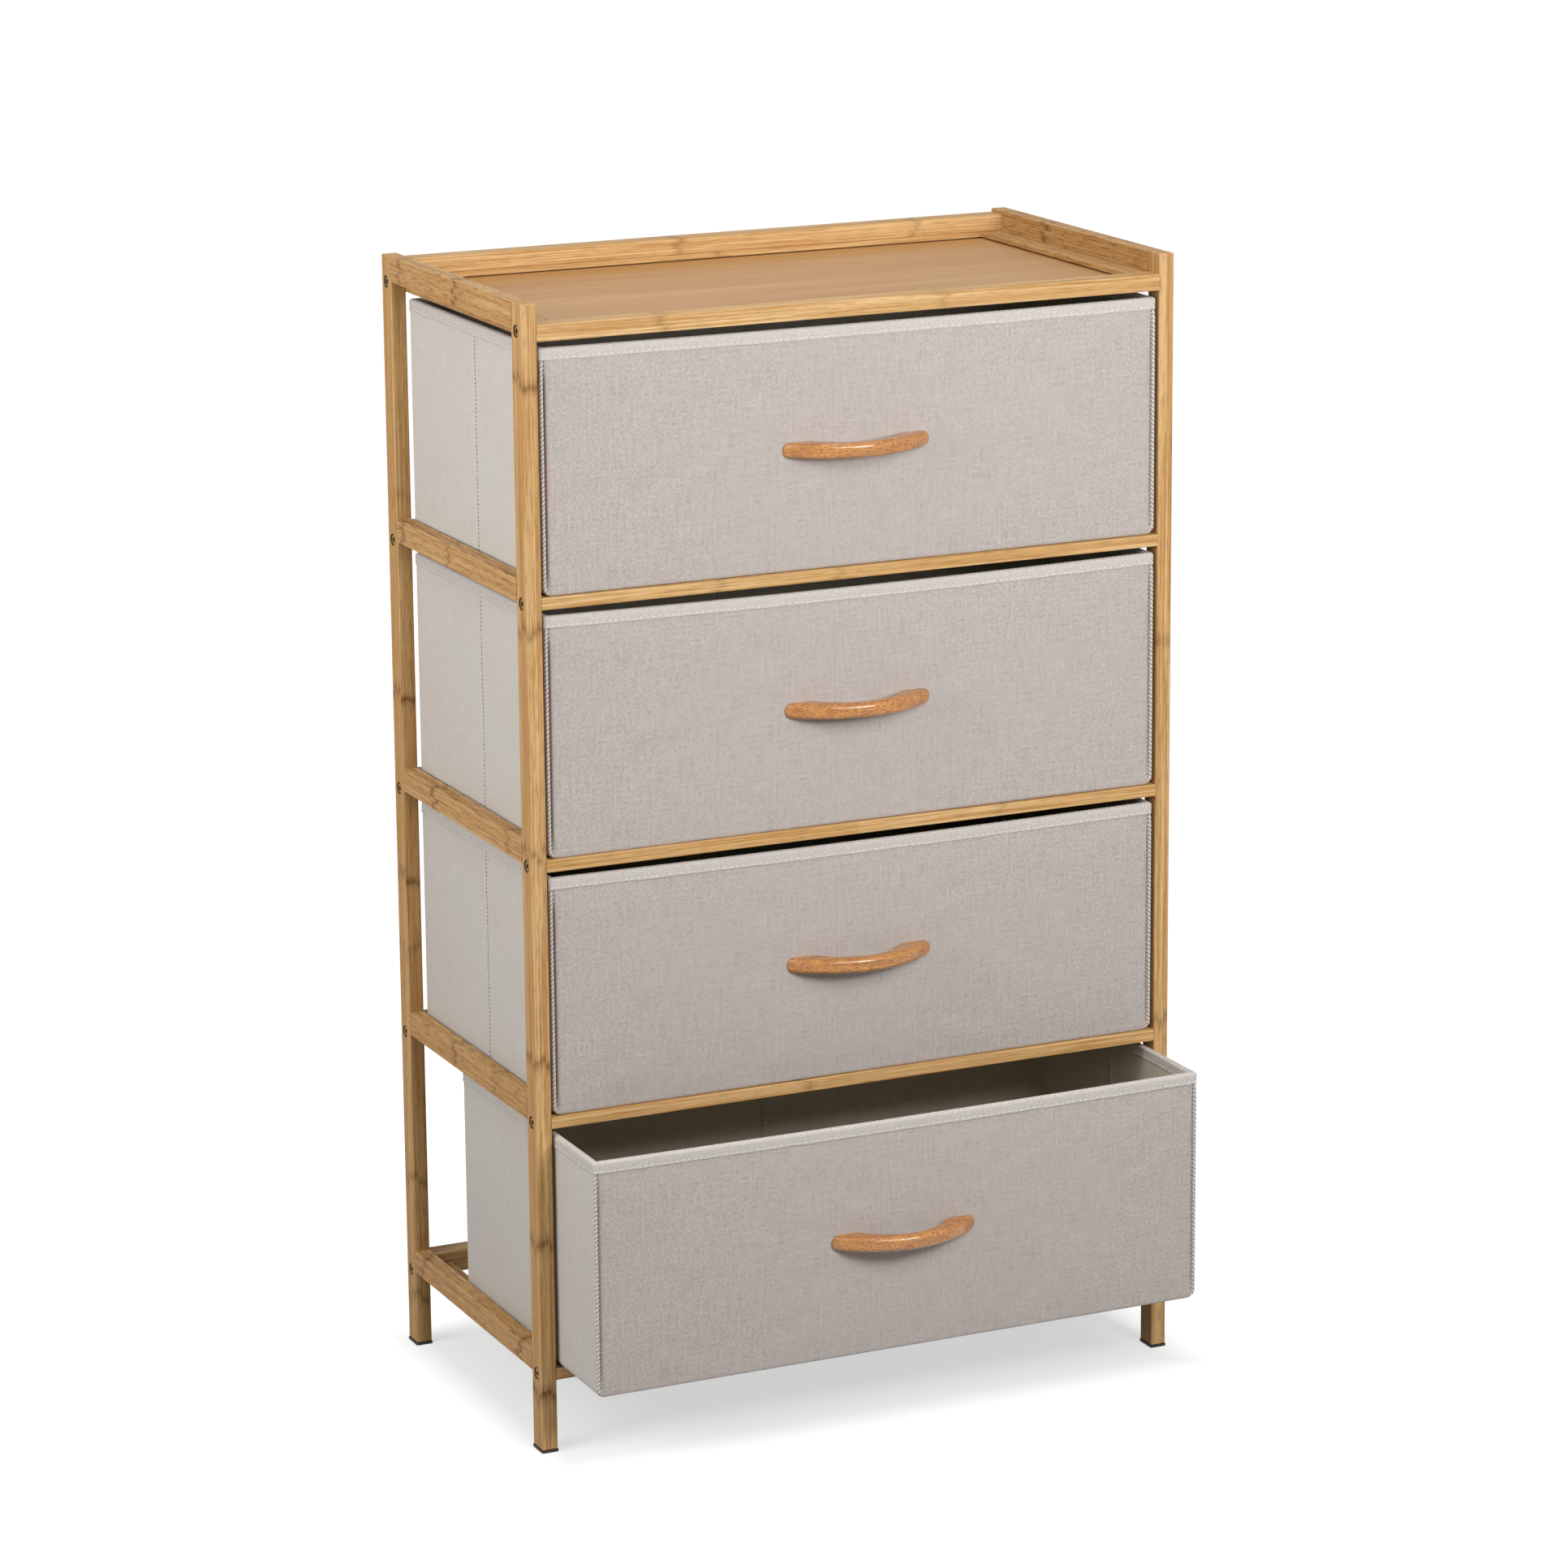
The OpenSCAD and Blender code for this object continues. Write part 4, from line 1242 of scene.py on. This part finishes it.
class SHELF_OT_drawer_welts(bpy.types.Operator):
    """Builds the welts that stand proud along the two front corners of each drawer"""

    bl_idname = "shelf.drawer_welts"
    bl_label = "Build Corner Welts"

    def execute(self, context):
        cord = corded_welt(context.scene.shelf_cloth)
        radius = CORNER - WELT_WIDTH / 2
        arc = np.linspace(0, WELT_TURN, 9)[1:]
        for k in DRAWERS:
            drawer = Drawer(k)
            zs = np.linspace(drawer.height - TAPE_HEIGHT + WELT_IN_TAPE, CORNER, 44)
            bends = np.concatenate([zs * 0, arc])
            heights = np.concatenate([zs, CORNER - radius * np.sin(arc)])
            reach = drawer.half - WELT_WIDTH / 2 - radius * (1 - np.cos(bends))
            made = []
            for sign in (-1, 1):
                path = np.column_stack([sign * reach, bends * 0 + WELT_SUNK, heights])
                normals = np.column_stack([sign * np.cos(bends), bends * 0, -np.sin(bends)])
                path = lower_rim(drawer, path)
                made.append(bead(path, normals, WELT_WIDTH / 2, WELT_SUNK + WELT_PROUD, drawer))
            whole = join(made, f"drawer_{k}_corner_welts")
            dress_drawer(whole, drawer, cord)
        return {"FINISHED"}


# Size of single stitches, in shares of the seam's
STITCH_SPREAD = (0.88, 1.1)


def stitch_tree():
    """Geometry nodes that set stitches along lines: even pitch, turned along the line, and
    slanted one way and the other round the cloth's normal by the zigzag angle."""
    tree = bpy.data.node_groups.new("Stitches", "GeometryNodeTree")
    face = tree.interface
    face.new_socket("Geometry", in_out="OUTPUT", socket_type="NodeSocketGeometry")
    sockets = {"Lines": "Geometry", "Pitch": "Float", "Stitch Length": "Float", "Thickness": "Float"}
    sockets |= {"Zigzag": "Float", "Seed": "Int", "Thread": "Material"}
    for name, kind in sockets.items():
        face.new_socket(name, in_out="INPUT", socket_type="NodeSocket" + kind)
    given = node(tree, "NodeGroupInput").outputs
    curve = node(tree, "GeometryNodeMeshToCurve", {0: given["Lines"]})
    points = node(
        tree, "GeometryNodeResampleCurve", {"Curve": curve, "Length": given["Pitch"]}, mode="LENGTH"
    )
    half = node(tree, "ShaderNodeMath", {0: given["Stitch Length"], 1: 0.5}, operation="MULTIPLY")
    thin = node(tree, "ShaderNodeMath", {0: given["Thickness"], 1: 0.5}, operation="MULTIPLY")
    size = node(tree, "ShaderNodeCombineXYZ", {0: half, 1: thin, 2: thin})
    uneven = node(
        tree,
        "FunctionNodeRandomValue",
        {"Min": STITCH_SPREAD[0], "Max": STITCH_SPREAD[1], "Seed": given["Seed"]},
        data_type="FLOAT",
    )
    scale = node(tree, "ShaderNodeVectorMath", {0: size, "Scale": uneven}, operation="SCALE")
    stitch = node(tree, "GeometryNodeMeshUVSphere", {"Segments": 6, "Rings": 4, "Radius": 1.0})
    tangent = node(tree, "GeometryNodeInputTangent")
    aligned = node(tree, "FunctionNodeAlignRotationToVector", {"Vector": tangent}, axis="X")
    index = node(tree, "GeometryNodeInputIndex")
    odd = node(tree, "ShaderNodeMath", {0: index, 1: 2.0}, operation="MODULO")
    sign = node(tree, "ShaderNodeMath", {0: odd, 1: 2.0, 2: -1.0}, operation="MULTIPLY_ADD")
    lean = node(tree, "ShaderNodeMath", {0: sign, 1: given["Zigzag"]}, operation="MULTIPLY")
    normal = node(
        tree, "GeometryNodeInputNamedAttribute", {"Name": "cloth_normal"}, data_type="FLOAT_VECTOR"
    )
    slant = node(tree, "FunctionNodeAxisAngleToRotation", {"Axis": normal, "Angle": lean})
    turned = node(
        tree,
        "FunctionNodeRotateRotation",
        {"Rotation": aligned, "Rotate By": slant},
        rotation_space="GLOBAL",
    )
    inputs = {"Points": points, "Instance": stitch, "Rotation": turned, "Scale": scale}
    sewn = node(tree, "GeometryNodeInstanceOnPoints", inputs)
    real = node(tree, "GeometryNodeRealizeInstances", {0: sewn})
    smooth = node(tree, "GeometryNodeSetShadeSmooth", {0: real})
    spun = node(tree, "GeometryNodeSetMaterial", {"Geometry": smooth, "Material": given["Thread"]})
    node(tree, "NodeGroupOutput", {0: spun})
    return tree


def guide_lines(name, drawer, lines):
    """An object of plain lines of drawer points, which carry their cloth's normal."""
    points, edges, normals = [], [], []
    for path, normal in lines:
        start = len(points)
        points += [tuple(p) for p in drawer.place(path)]
        edges += [(start + i, start + i + 1) for i in range(len(path) - 1)]
        normals += [normal] * len(path)
    mesh = bpy.data.meshes.new(name)
    mesh.from_pydata(points, edges, [])
    attribute = mesh.attributes.new("cloth_normal", "FLOAT_VECTOR", "POINT")
    attribute.data.foreach_set("vector", np.array(normals, np.float32).ravel())
    return link_object(name, mesh)


def sew(name, drawer, lines, tree, values):
    """Sews stitches along lines of drawer points, with the tree's inputs, as one plain mesh."""
    guide = guide_lines(name + "_lines", drawer, lines)
    modifier = guide.modifiers.new("Stitches", "NODES")
    modifier.node_group = tree
    for item in tree.interface.items_tree:
        if item.name in values:
            modifier[item.identifier] = values[item.name]
    depsgraph = bpy.context.evaluated_depsgraph_get()
    mesh = bpy.data.meshes.new_from_object(guide.evaluated_get(depsgraph), depsgraph=depsgraph)
    mesh.name = name
    bpy.data.objects.remove(guide)
    if not mesh.polygons:
        raise ValueError(name + " has no stitches")
    return link_object(name, mesh)


# Points along each seam, and distance of the sides' seams from the fold, in millimetres
SEAM_POINTS = 40
FOLD_SIDE = 1.9

# How far the threads lie over the cloth, in millimetres: on fronts, rears and tapes, on the
# sides, and on the linings' folds
THREAD_LIFT = 0.1
SIDE_LIFT = 0.12
LINING_LIFT = 0.15


def seam_lines(drawer):
    """Lines of the dark seams, just over the cloth: beside the welts, and down the fold of each
    side."""
    lines = []
    for sign in (-1, 1):
        z = np.linspace(CORNER + 2, drawer.height - TAPE_HEIGHT - 1, SEAM_POINTS)
        x = np.full(len(z), sign * (drawer.half - SEAM_IN))
        welt = lower_rim(drawer, panel_point(drawer, x, z, 0.0, False, True))
        lines.append((welt + [0, -THREAD_LIFT, 0], (0, -1, 0)))
        y = np.full(len(z), drawer.middle - FOLD_SIDE)
        side = np.full(len(z), sign * drawer.half)
        flat = np.zeros(len(z))
        fold = wrap_point(drawer, side, z, flat + sign, flat, y, 0.0, True)
        lines.append((lower_rim(drawer, fold) + [sign * SIDE_LIFT, 0, 0], (sign, 0, 0)))
    return lines


def tape_lines(drawer):
    """Lines of the pale seams: along the tape's lower edge, outside and inside."""
    outer_loop, inner_loop = rim_loops(drawer)
    out = WALL / 2 + TAPE
    places = [(side * (out + THREAD_LIFT), -TAPE_SEAM) for side in (1, -1)]
    rows, _ = tape_points(drawer, outer_loop, inner_loop, places)
    return [(np.concatenate([row, row[:1]]), (0, 0, 1)) for row in rows]


def lining_lines(drawer):
    """Lines of the lining's seams: down the middle of its rear wall and down each fold."""
    z = np.linspace(WALL + 1, drawer.height - TAPE_HEIGHT - 1, SEAM_POINTS)
    inset = LINING_INSET
    rear = lower_rim(drawer, panel_point(drawer, np.zeros(len(z)), z, inset, True, False))
    lines = [(rear + [0, -THREAD_LIFT, 0], (0, -1, 0))]
    for sign in (-1, 1):
        flat = np.zeros(len(z))
        side = flat + sign * (drawer.half - inset)
        fold = wrap_point(drawer, side, z, flat + sign, flat, flat + drawer.middle, inset, False)
        lines.append((lower_rim(drawer, fold) + [-sign * LINING_LIFT, 0, 0], (-sign, 0, 0)))
    return lines


def stitch_sizes(cloth, coarse):
    """The sizes of a seam's stitches: pitch and length grow by the coarse factor, and the
    thickness by its root."""
    return {
        "Pitch": cloth.stitch_pitch * coarse,
        "Stitch Length": cloth.stitch_length * coarse,
        "Thickness": cloth.stitch_thickness * math.sqrt(coarse),
    }


class SHELF_OT_stitches(bpy.types.Operator):
    """Sews the seams of each drawer: dark thread on the cover and lining, pale on the tape"""

    bl_idname = "shelf.stitches"
    bl_label = "Sew Stitches"

    def execute(self, context):
        cloth = context.scene.shelf_cloth
        tree = stitch_tree()
        dark = spun_thread("Spun polyester thread, taupe", cloth.dark_thread_and_seam_shade, cloth.thread_shade)
        pale = spun_thread("Spun polyester thread, ecru", cloth.pale_thread, cloth.thread_shade)
        for k in DRAWERS:
            drawer = Drawer(k)
            seams = seam_lines(drawer) + lining_lines(drawer)
            sizes = {"Zigzag": SEAM_ZIGZAG, "Seed": k, "Thread": dark} | stitch_sizes(cloth, 1.0)
            sewn = sew(f"drawer_{k}_seam_stitches", drawer, seams, tree, sizes)
            dress_drawer(sewn, drawer, dark)
            sizes = {"Zigzag": 0.0, "Seed": k + 10, "Thread": pale} | stitch_sizes(cloth, TAPE_STITCH)
            sewn = sew(f"drawer_{k}_tape_stitches", drawer, tape_lines(drawer), tree, sizes)
            dress_drawer(sewn, drawer, pale)
        return {"FINISHED"}


# Softboxes: name, place and target, width and height in metres, and share of the key light
SOFTBOXES = (
    ("Front softbox", (0.1, -1.8, 1.5), (0, -0.1, 0.7), (1.3, 0.8), 1.0),
    ("Low softbox", (0.5, -1.7, 1.15), (0, -0.15, 0.75), (0.6, 0.3), 0.6),
    ("Left softbox", (-1.6, -0.25, 1.1), (-0.25, 0, 0.7), (0.8, 0.7), 0.73),
    ("Left top softbox", (-1.3, -0.3, 2.1), (-0.2, 0, 0.9), (1.0, 1.0), 0.36),
    ("Right softbox", (1.6, -1.6, 1.5), (0, 0, 0.7), (1.0, 0.8), 0.12),
    ("Top softbox", (0.1, 0.1, 2.2), (0, 0, 0.95), (0.6, 0.6), 0.24),
)

# Place of the camera in metres, and its vertical shift in widths of the picture
CAMERA_PLACE = (-1.83767, -3.99343, 1.60856)
CAMERA_SHIFT = -0.0497

# Half size of the studio floor, and how much further the painted shadow reaches to the front, in metres
FLOOR_REACH = 14.0
PAINTED_SHADOW_AHEAD = 0.02

# White that the camera sees on the floor: lower under the unit, where it paints a shadow over the
# real one, and higher away from it, and between which distances from the unit's outline it
# changes, in metres
FLOOR_LIFT_PAINTED_SHADOW = (0.6, 0.95)
PAINTED_SHADOW_FADE = (-0.015, 0.045)


def add_softbox(name, place, target, size, power):
    """A softbox that faces a target."""
    lamp = bpy.data.lights.new(name, "AREA")
    lamp.shape = "RECTANGLE"
    lamp.size, lamp.size_y = size
    lamp.energy = power
    made = link_object(name, lamp)
    made.location = place
    made.rotation_euler = (Vector(target) - Vector(place)).to_track_quat("-Z", "Y").to_euler()


def seen_ray(tree):
    """1 for what the camera sees, mirrored or through a pane too, and 0 for the light on things."""
    ray = node(tree, "ShaderNodeLightPath").outputs
    direct = {0: ray["Is Camera Ray"], 1: ray["Is Glossy Ray"]}
    seen = node(tree, "ShaderNodeMath", direct, operation="MAXIMUM")
    return node(tree, "ShaderNodeMath", {0: seen, 1: ray["Is Transmission Ray"]}, operation="MAXIMUM")


def floor_material(paper):
    """Seamless paper: matt and pale. To the camera it is lifted to white, less under the unit's
    outline, which paints a shadow there over the real one.
    """
    made, tree = new_material("Seamless studio paper")
    pulp = piece_noise(tree, 3.0, 2.0)
    base = laid_over(tree, paper, (pulp, (0, 1), (0, 0.03), linear("#DADADA")))
    matt = node(tree, "ShaderNodeBsdfDiffuse", {"Color": base})
    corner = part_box("post_rear_right")[1]
    place = node(tree, "ShaderNodeTexCoord").outputs["Object"]
    split = node(tree, "ShaderNodeSeparateXYZ", {0: place}).outputs
    # The painted shadow reaches further to the front than to the rear
    ahead = node(tree, "ShaderNodeMath", {0: split[1], 1: PAINTED_SHADOW_AHEAD}, operation="ADD")
    past = []
    for value, edge in ((split[0], corner.x), (ahead, corner.y + PAINTED_SHADOW_AHEAD)):
        distance = node(tree, "ShaderNodeMath", {0: value}, operation="ABSOLUTE")
        past.append(node(tree, "ShaderNodeMath", {0: distance, 1: edge}, operation="SUBTRACT"))
    away = node(tree, "ShaderNodeMath", {0: past[0], 1: past[1]}, operation="MAXIMUM")
    (near, far), (under, beyond) = PAINTED_SHADOW_FADE, FLOOR_LIFT_PAINTED_SHADOW
    # Less lift under the unit's outline: a painted shadow
    lift_and_painted_shadow = node(tree, "ShaderNodeMapRange", {0: away, 1: near, 2: far, 3: under, 4: beyond})
    strength = node(tree, "ShaderNodeMath", {0: seen_ray(tree), 1: lift_and_painted_shadow}, operation="MULTIPLY")
    white = node(tree, "ShaderNodeEmission", {"Color": linear("#FFFFFF"), "Strength": strength})
    both = node(tree, "ShaderNodeAddShader", {0: matt, 1: white})
    node(tree, "ShaderNodeOutputMaterial", {"Surface": both})
    return made


def studio_world(ambient):
    """White behind the unit for the eye and for reflections, and an even grey light elsewhere."""
    world = bpy.data.worlds.new("Studio")
    world.use_nodes = True
    tree = world.node_tree
    tree.nodes.clear()
    strength = node(tree, "ShaderNodeMapRange", {0: seen_ray(tree), 3: ambient, 4: 1.0})
    sky = node(tree, "ShaderNodeBackground", {"Color": linear("#FFFFFF"), "Strength": strength})
    node(tree, "ShaderNodeOutputWorld", {"Surface": sky})
    bpy.context.scene.world = world


def set_camera(stage):
    """Sets up the camera of the product view, level apart from its roll."""
    camera = bpy.data.cameras.new("Camera")
    camera.sensor_width = 36.0
    camera.lens = stage.lens
    camera.shift_y = CAMERA_SHIFT
    camera.clip_end = 100.0
    made = link_object("Camera", camera)
    a, e = stage.azimuth, stage.elevation
    back = Vector((math.sin(a) * math.cos(e), -math.cos(a) * math.cos(e), math.sin(e)))
    right = Vector((math.cos(a), math.sin(a), 0))
    level = Matrix((right, back.cross(right), back)).transposed()
    turned = level @ Matrix.Rotation(stage.roll, 3, "Z")
    made.matrix_world = Matrix.Translation(CAMERA_PLACE) @ turned.to_4x4()
    bpy.context.scene.camera = made


class SHELF_OT_stage(bpy.types.Operator):
    """Sets up the floor, the soft studio light and the camera"""

    bl_idname = "shelf.stage"
    bl_label = "Set Up Stage"

    def execute(self, context):
        stage = context.scene.shelf_stage
        context.scene.view_settings.view_transform = "Standard"
        studio_world(stage.ambient)
        corners = [(x * FLOOR_REACH, y * FLOOR_REACH, 0) for x, y in ((-1, -1), (1, -1), (1, 1), (-1, 1))]
        floor = make_mesh("studio_floor", corners, [(0, 1, 2, 3)])
        floor.data.materials.append(floor_material(stage.floor))
        for name, place, target, size, share in SOFTBOXES:
            add_softbox(name, place, target, size, stage.key * share)
        set_camera(stage)
        return {"FINISHED"}


class SHELF_PT_panel(bpy.types.Panel):
    """Lists the settings and the steps in the sidebar"""

    bl_label = "Shelf Unit"
    bl_idname = "SHELF_PT_panel"
    bl_space_type = "VIEW_3D"
    bl_region_type = "UI"
    bl_category = "Shelf Unit"

    def draw(self, context):
        for group in (context.scene.shelf_wood, context.scene.shelf_cloth, context.scene.shelf_stage):
            box = self.layout.box()
            for name in group.bl_rna.properties.keys():
                if name not in ("rna_type", "name"):
                    box.prop(group, name)
        for step in STEPS:
            self.layout.operator(step.bl_idname)


STEPS = (
    SHELF_OT_bamboo,
    SHELF_OT_top_panel,
    SHELF_OT_handles,
    SHELF_OT_hardware,
    SHELF_OT_drawer_covers,
    SHELF_OT_drawer_linings,
    SHELF_OT_drawer_bindings,
    SHELF_OT_drawer_welts,
    SHELF_OT_stitches,
    SHELF_OT_stage,
)
CLASSES = (ShelfWoodSettings, ShelfClothSettings, ShelfStageSettings) + STEPS + (SHELF_PT_panel,)


def register():
    for c in CLASSES:
        bpy.utils.register_class(c)
    bpy.types.Scene.shelf_wood = PointerProperty(type=ShelfWoodSettings)
    bpy.types.Scene.shelf_cloth = PointerProperty(type=ShelfClothSettings)
    bpy.types.Scene.shelf_stage = PointerProperty(type=ShelfStageSettings)


def unregister():
    del bpy.types.Scene.shelf_wood
    del bpy.types.Scene.shelf_cloth
    del bpy.types.Scene.shelf_stage
    for c in reversed(CLASSES):
        bpy.utils.unregister_class(c)


def main():
    register()
    for step in STEPS:
        family, name = step.bl_idname.split(".")
        getattr(getattr(bpy.ops, family), name)()


if __name__ == "__main__":
    main()
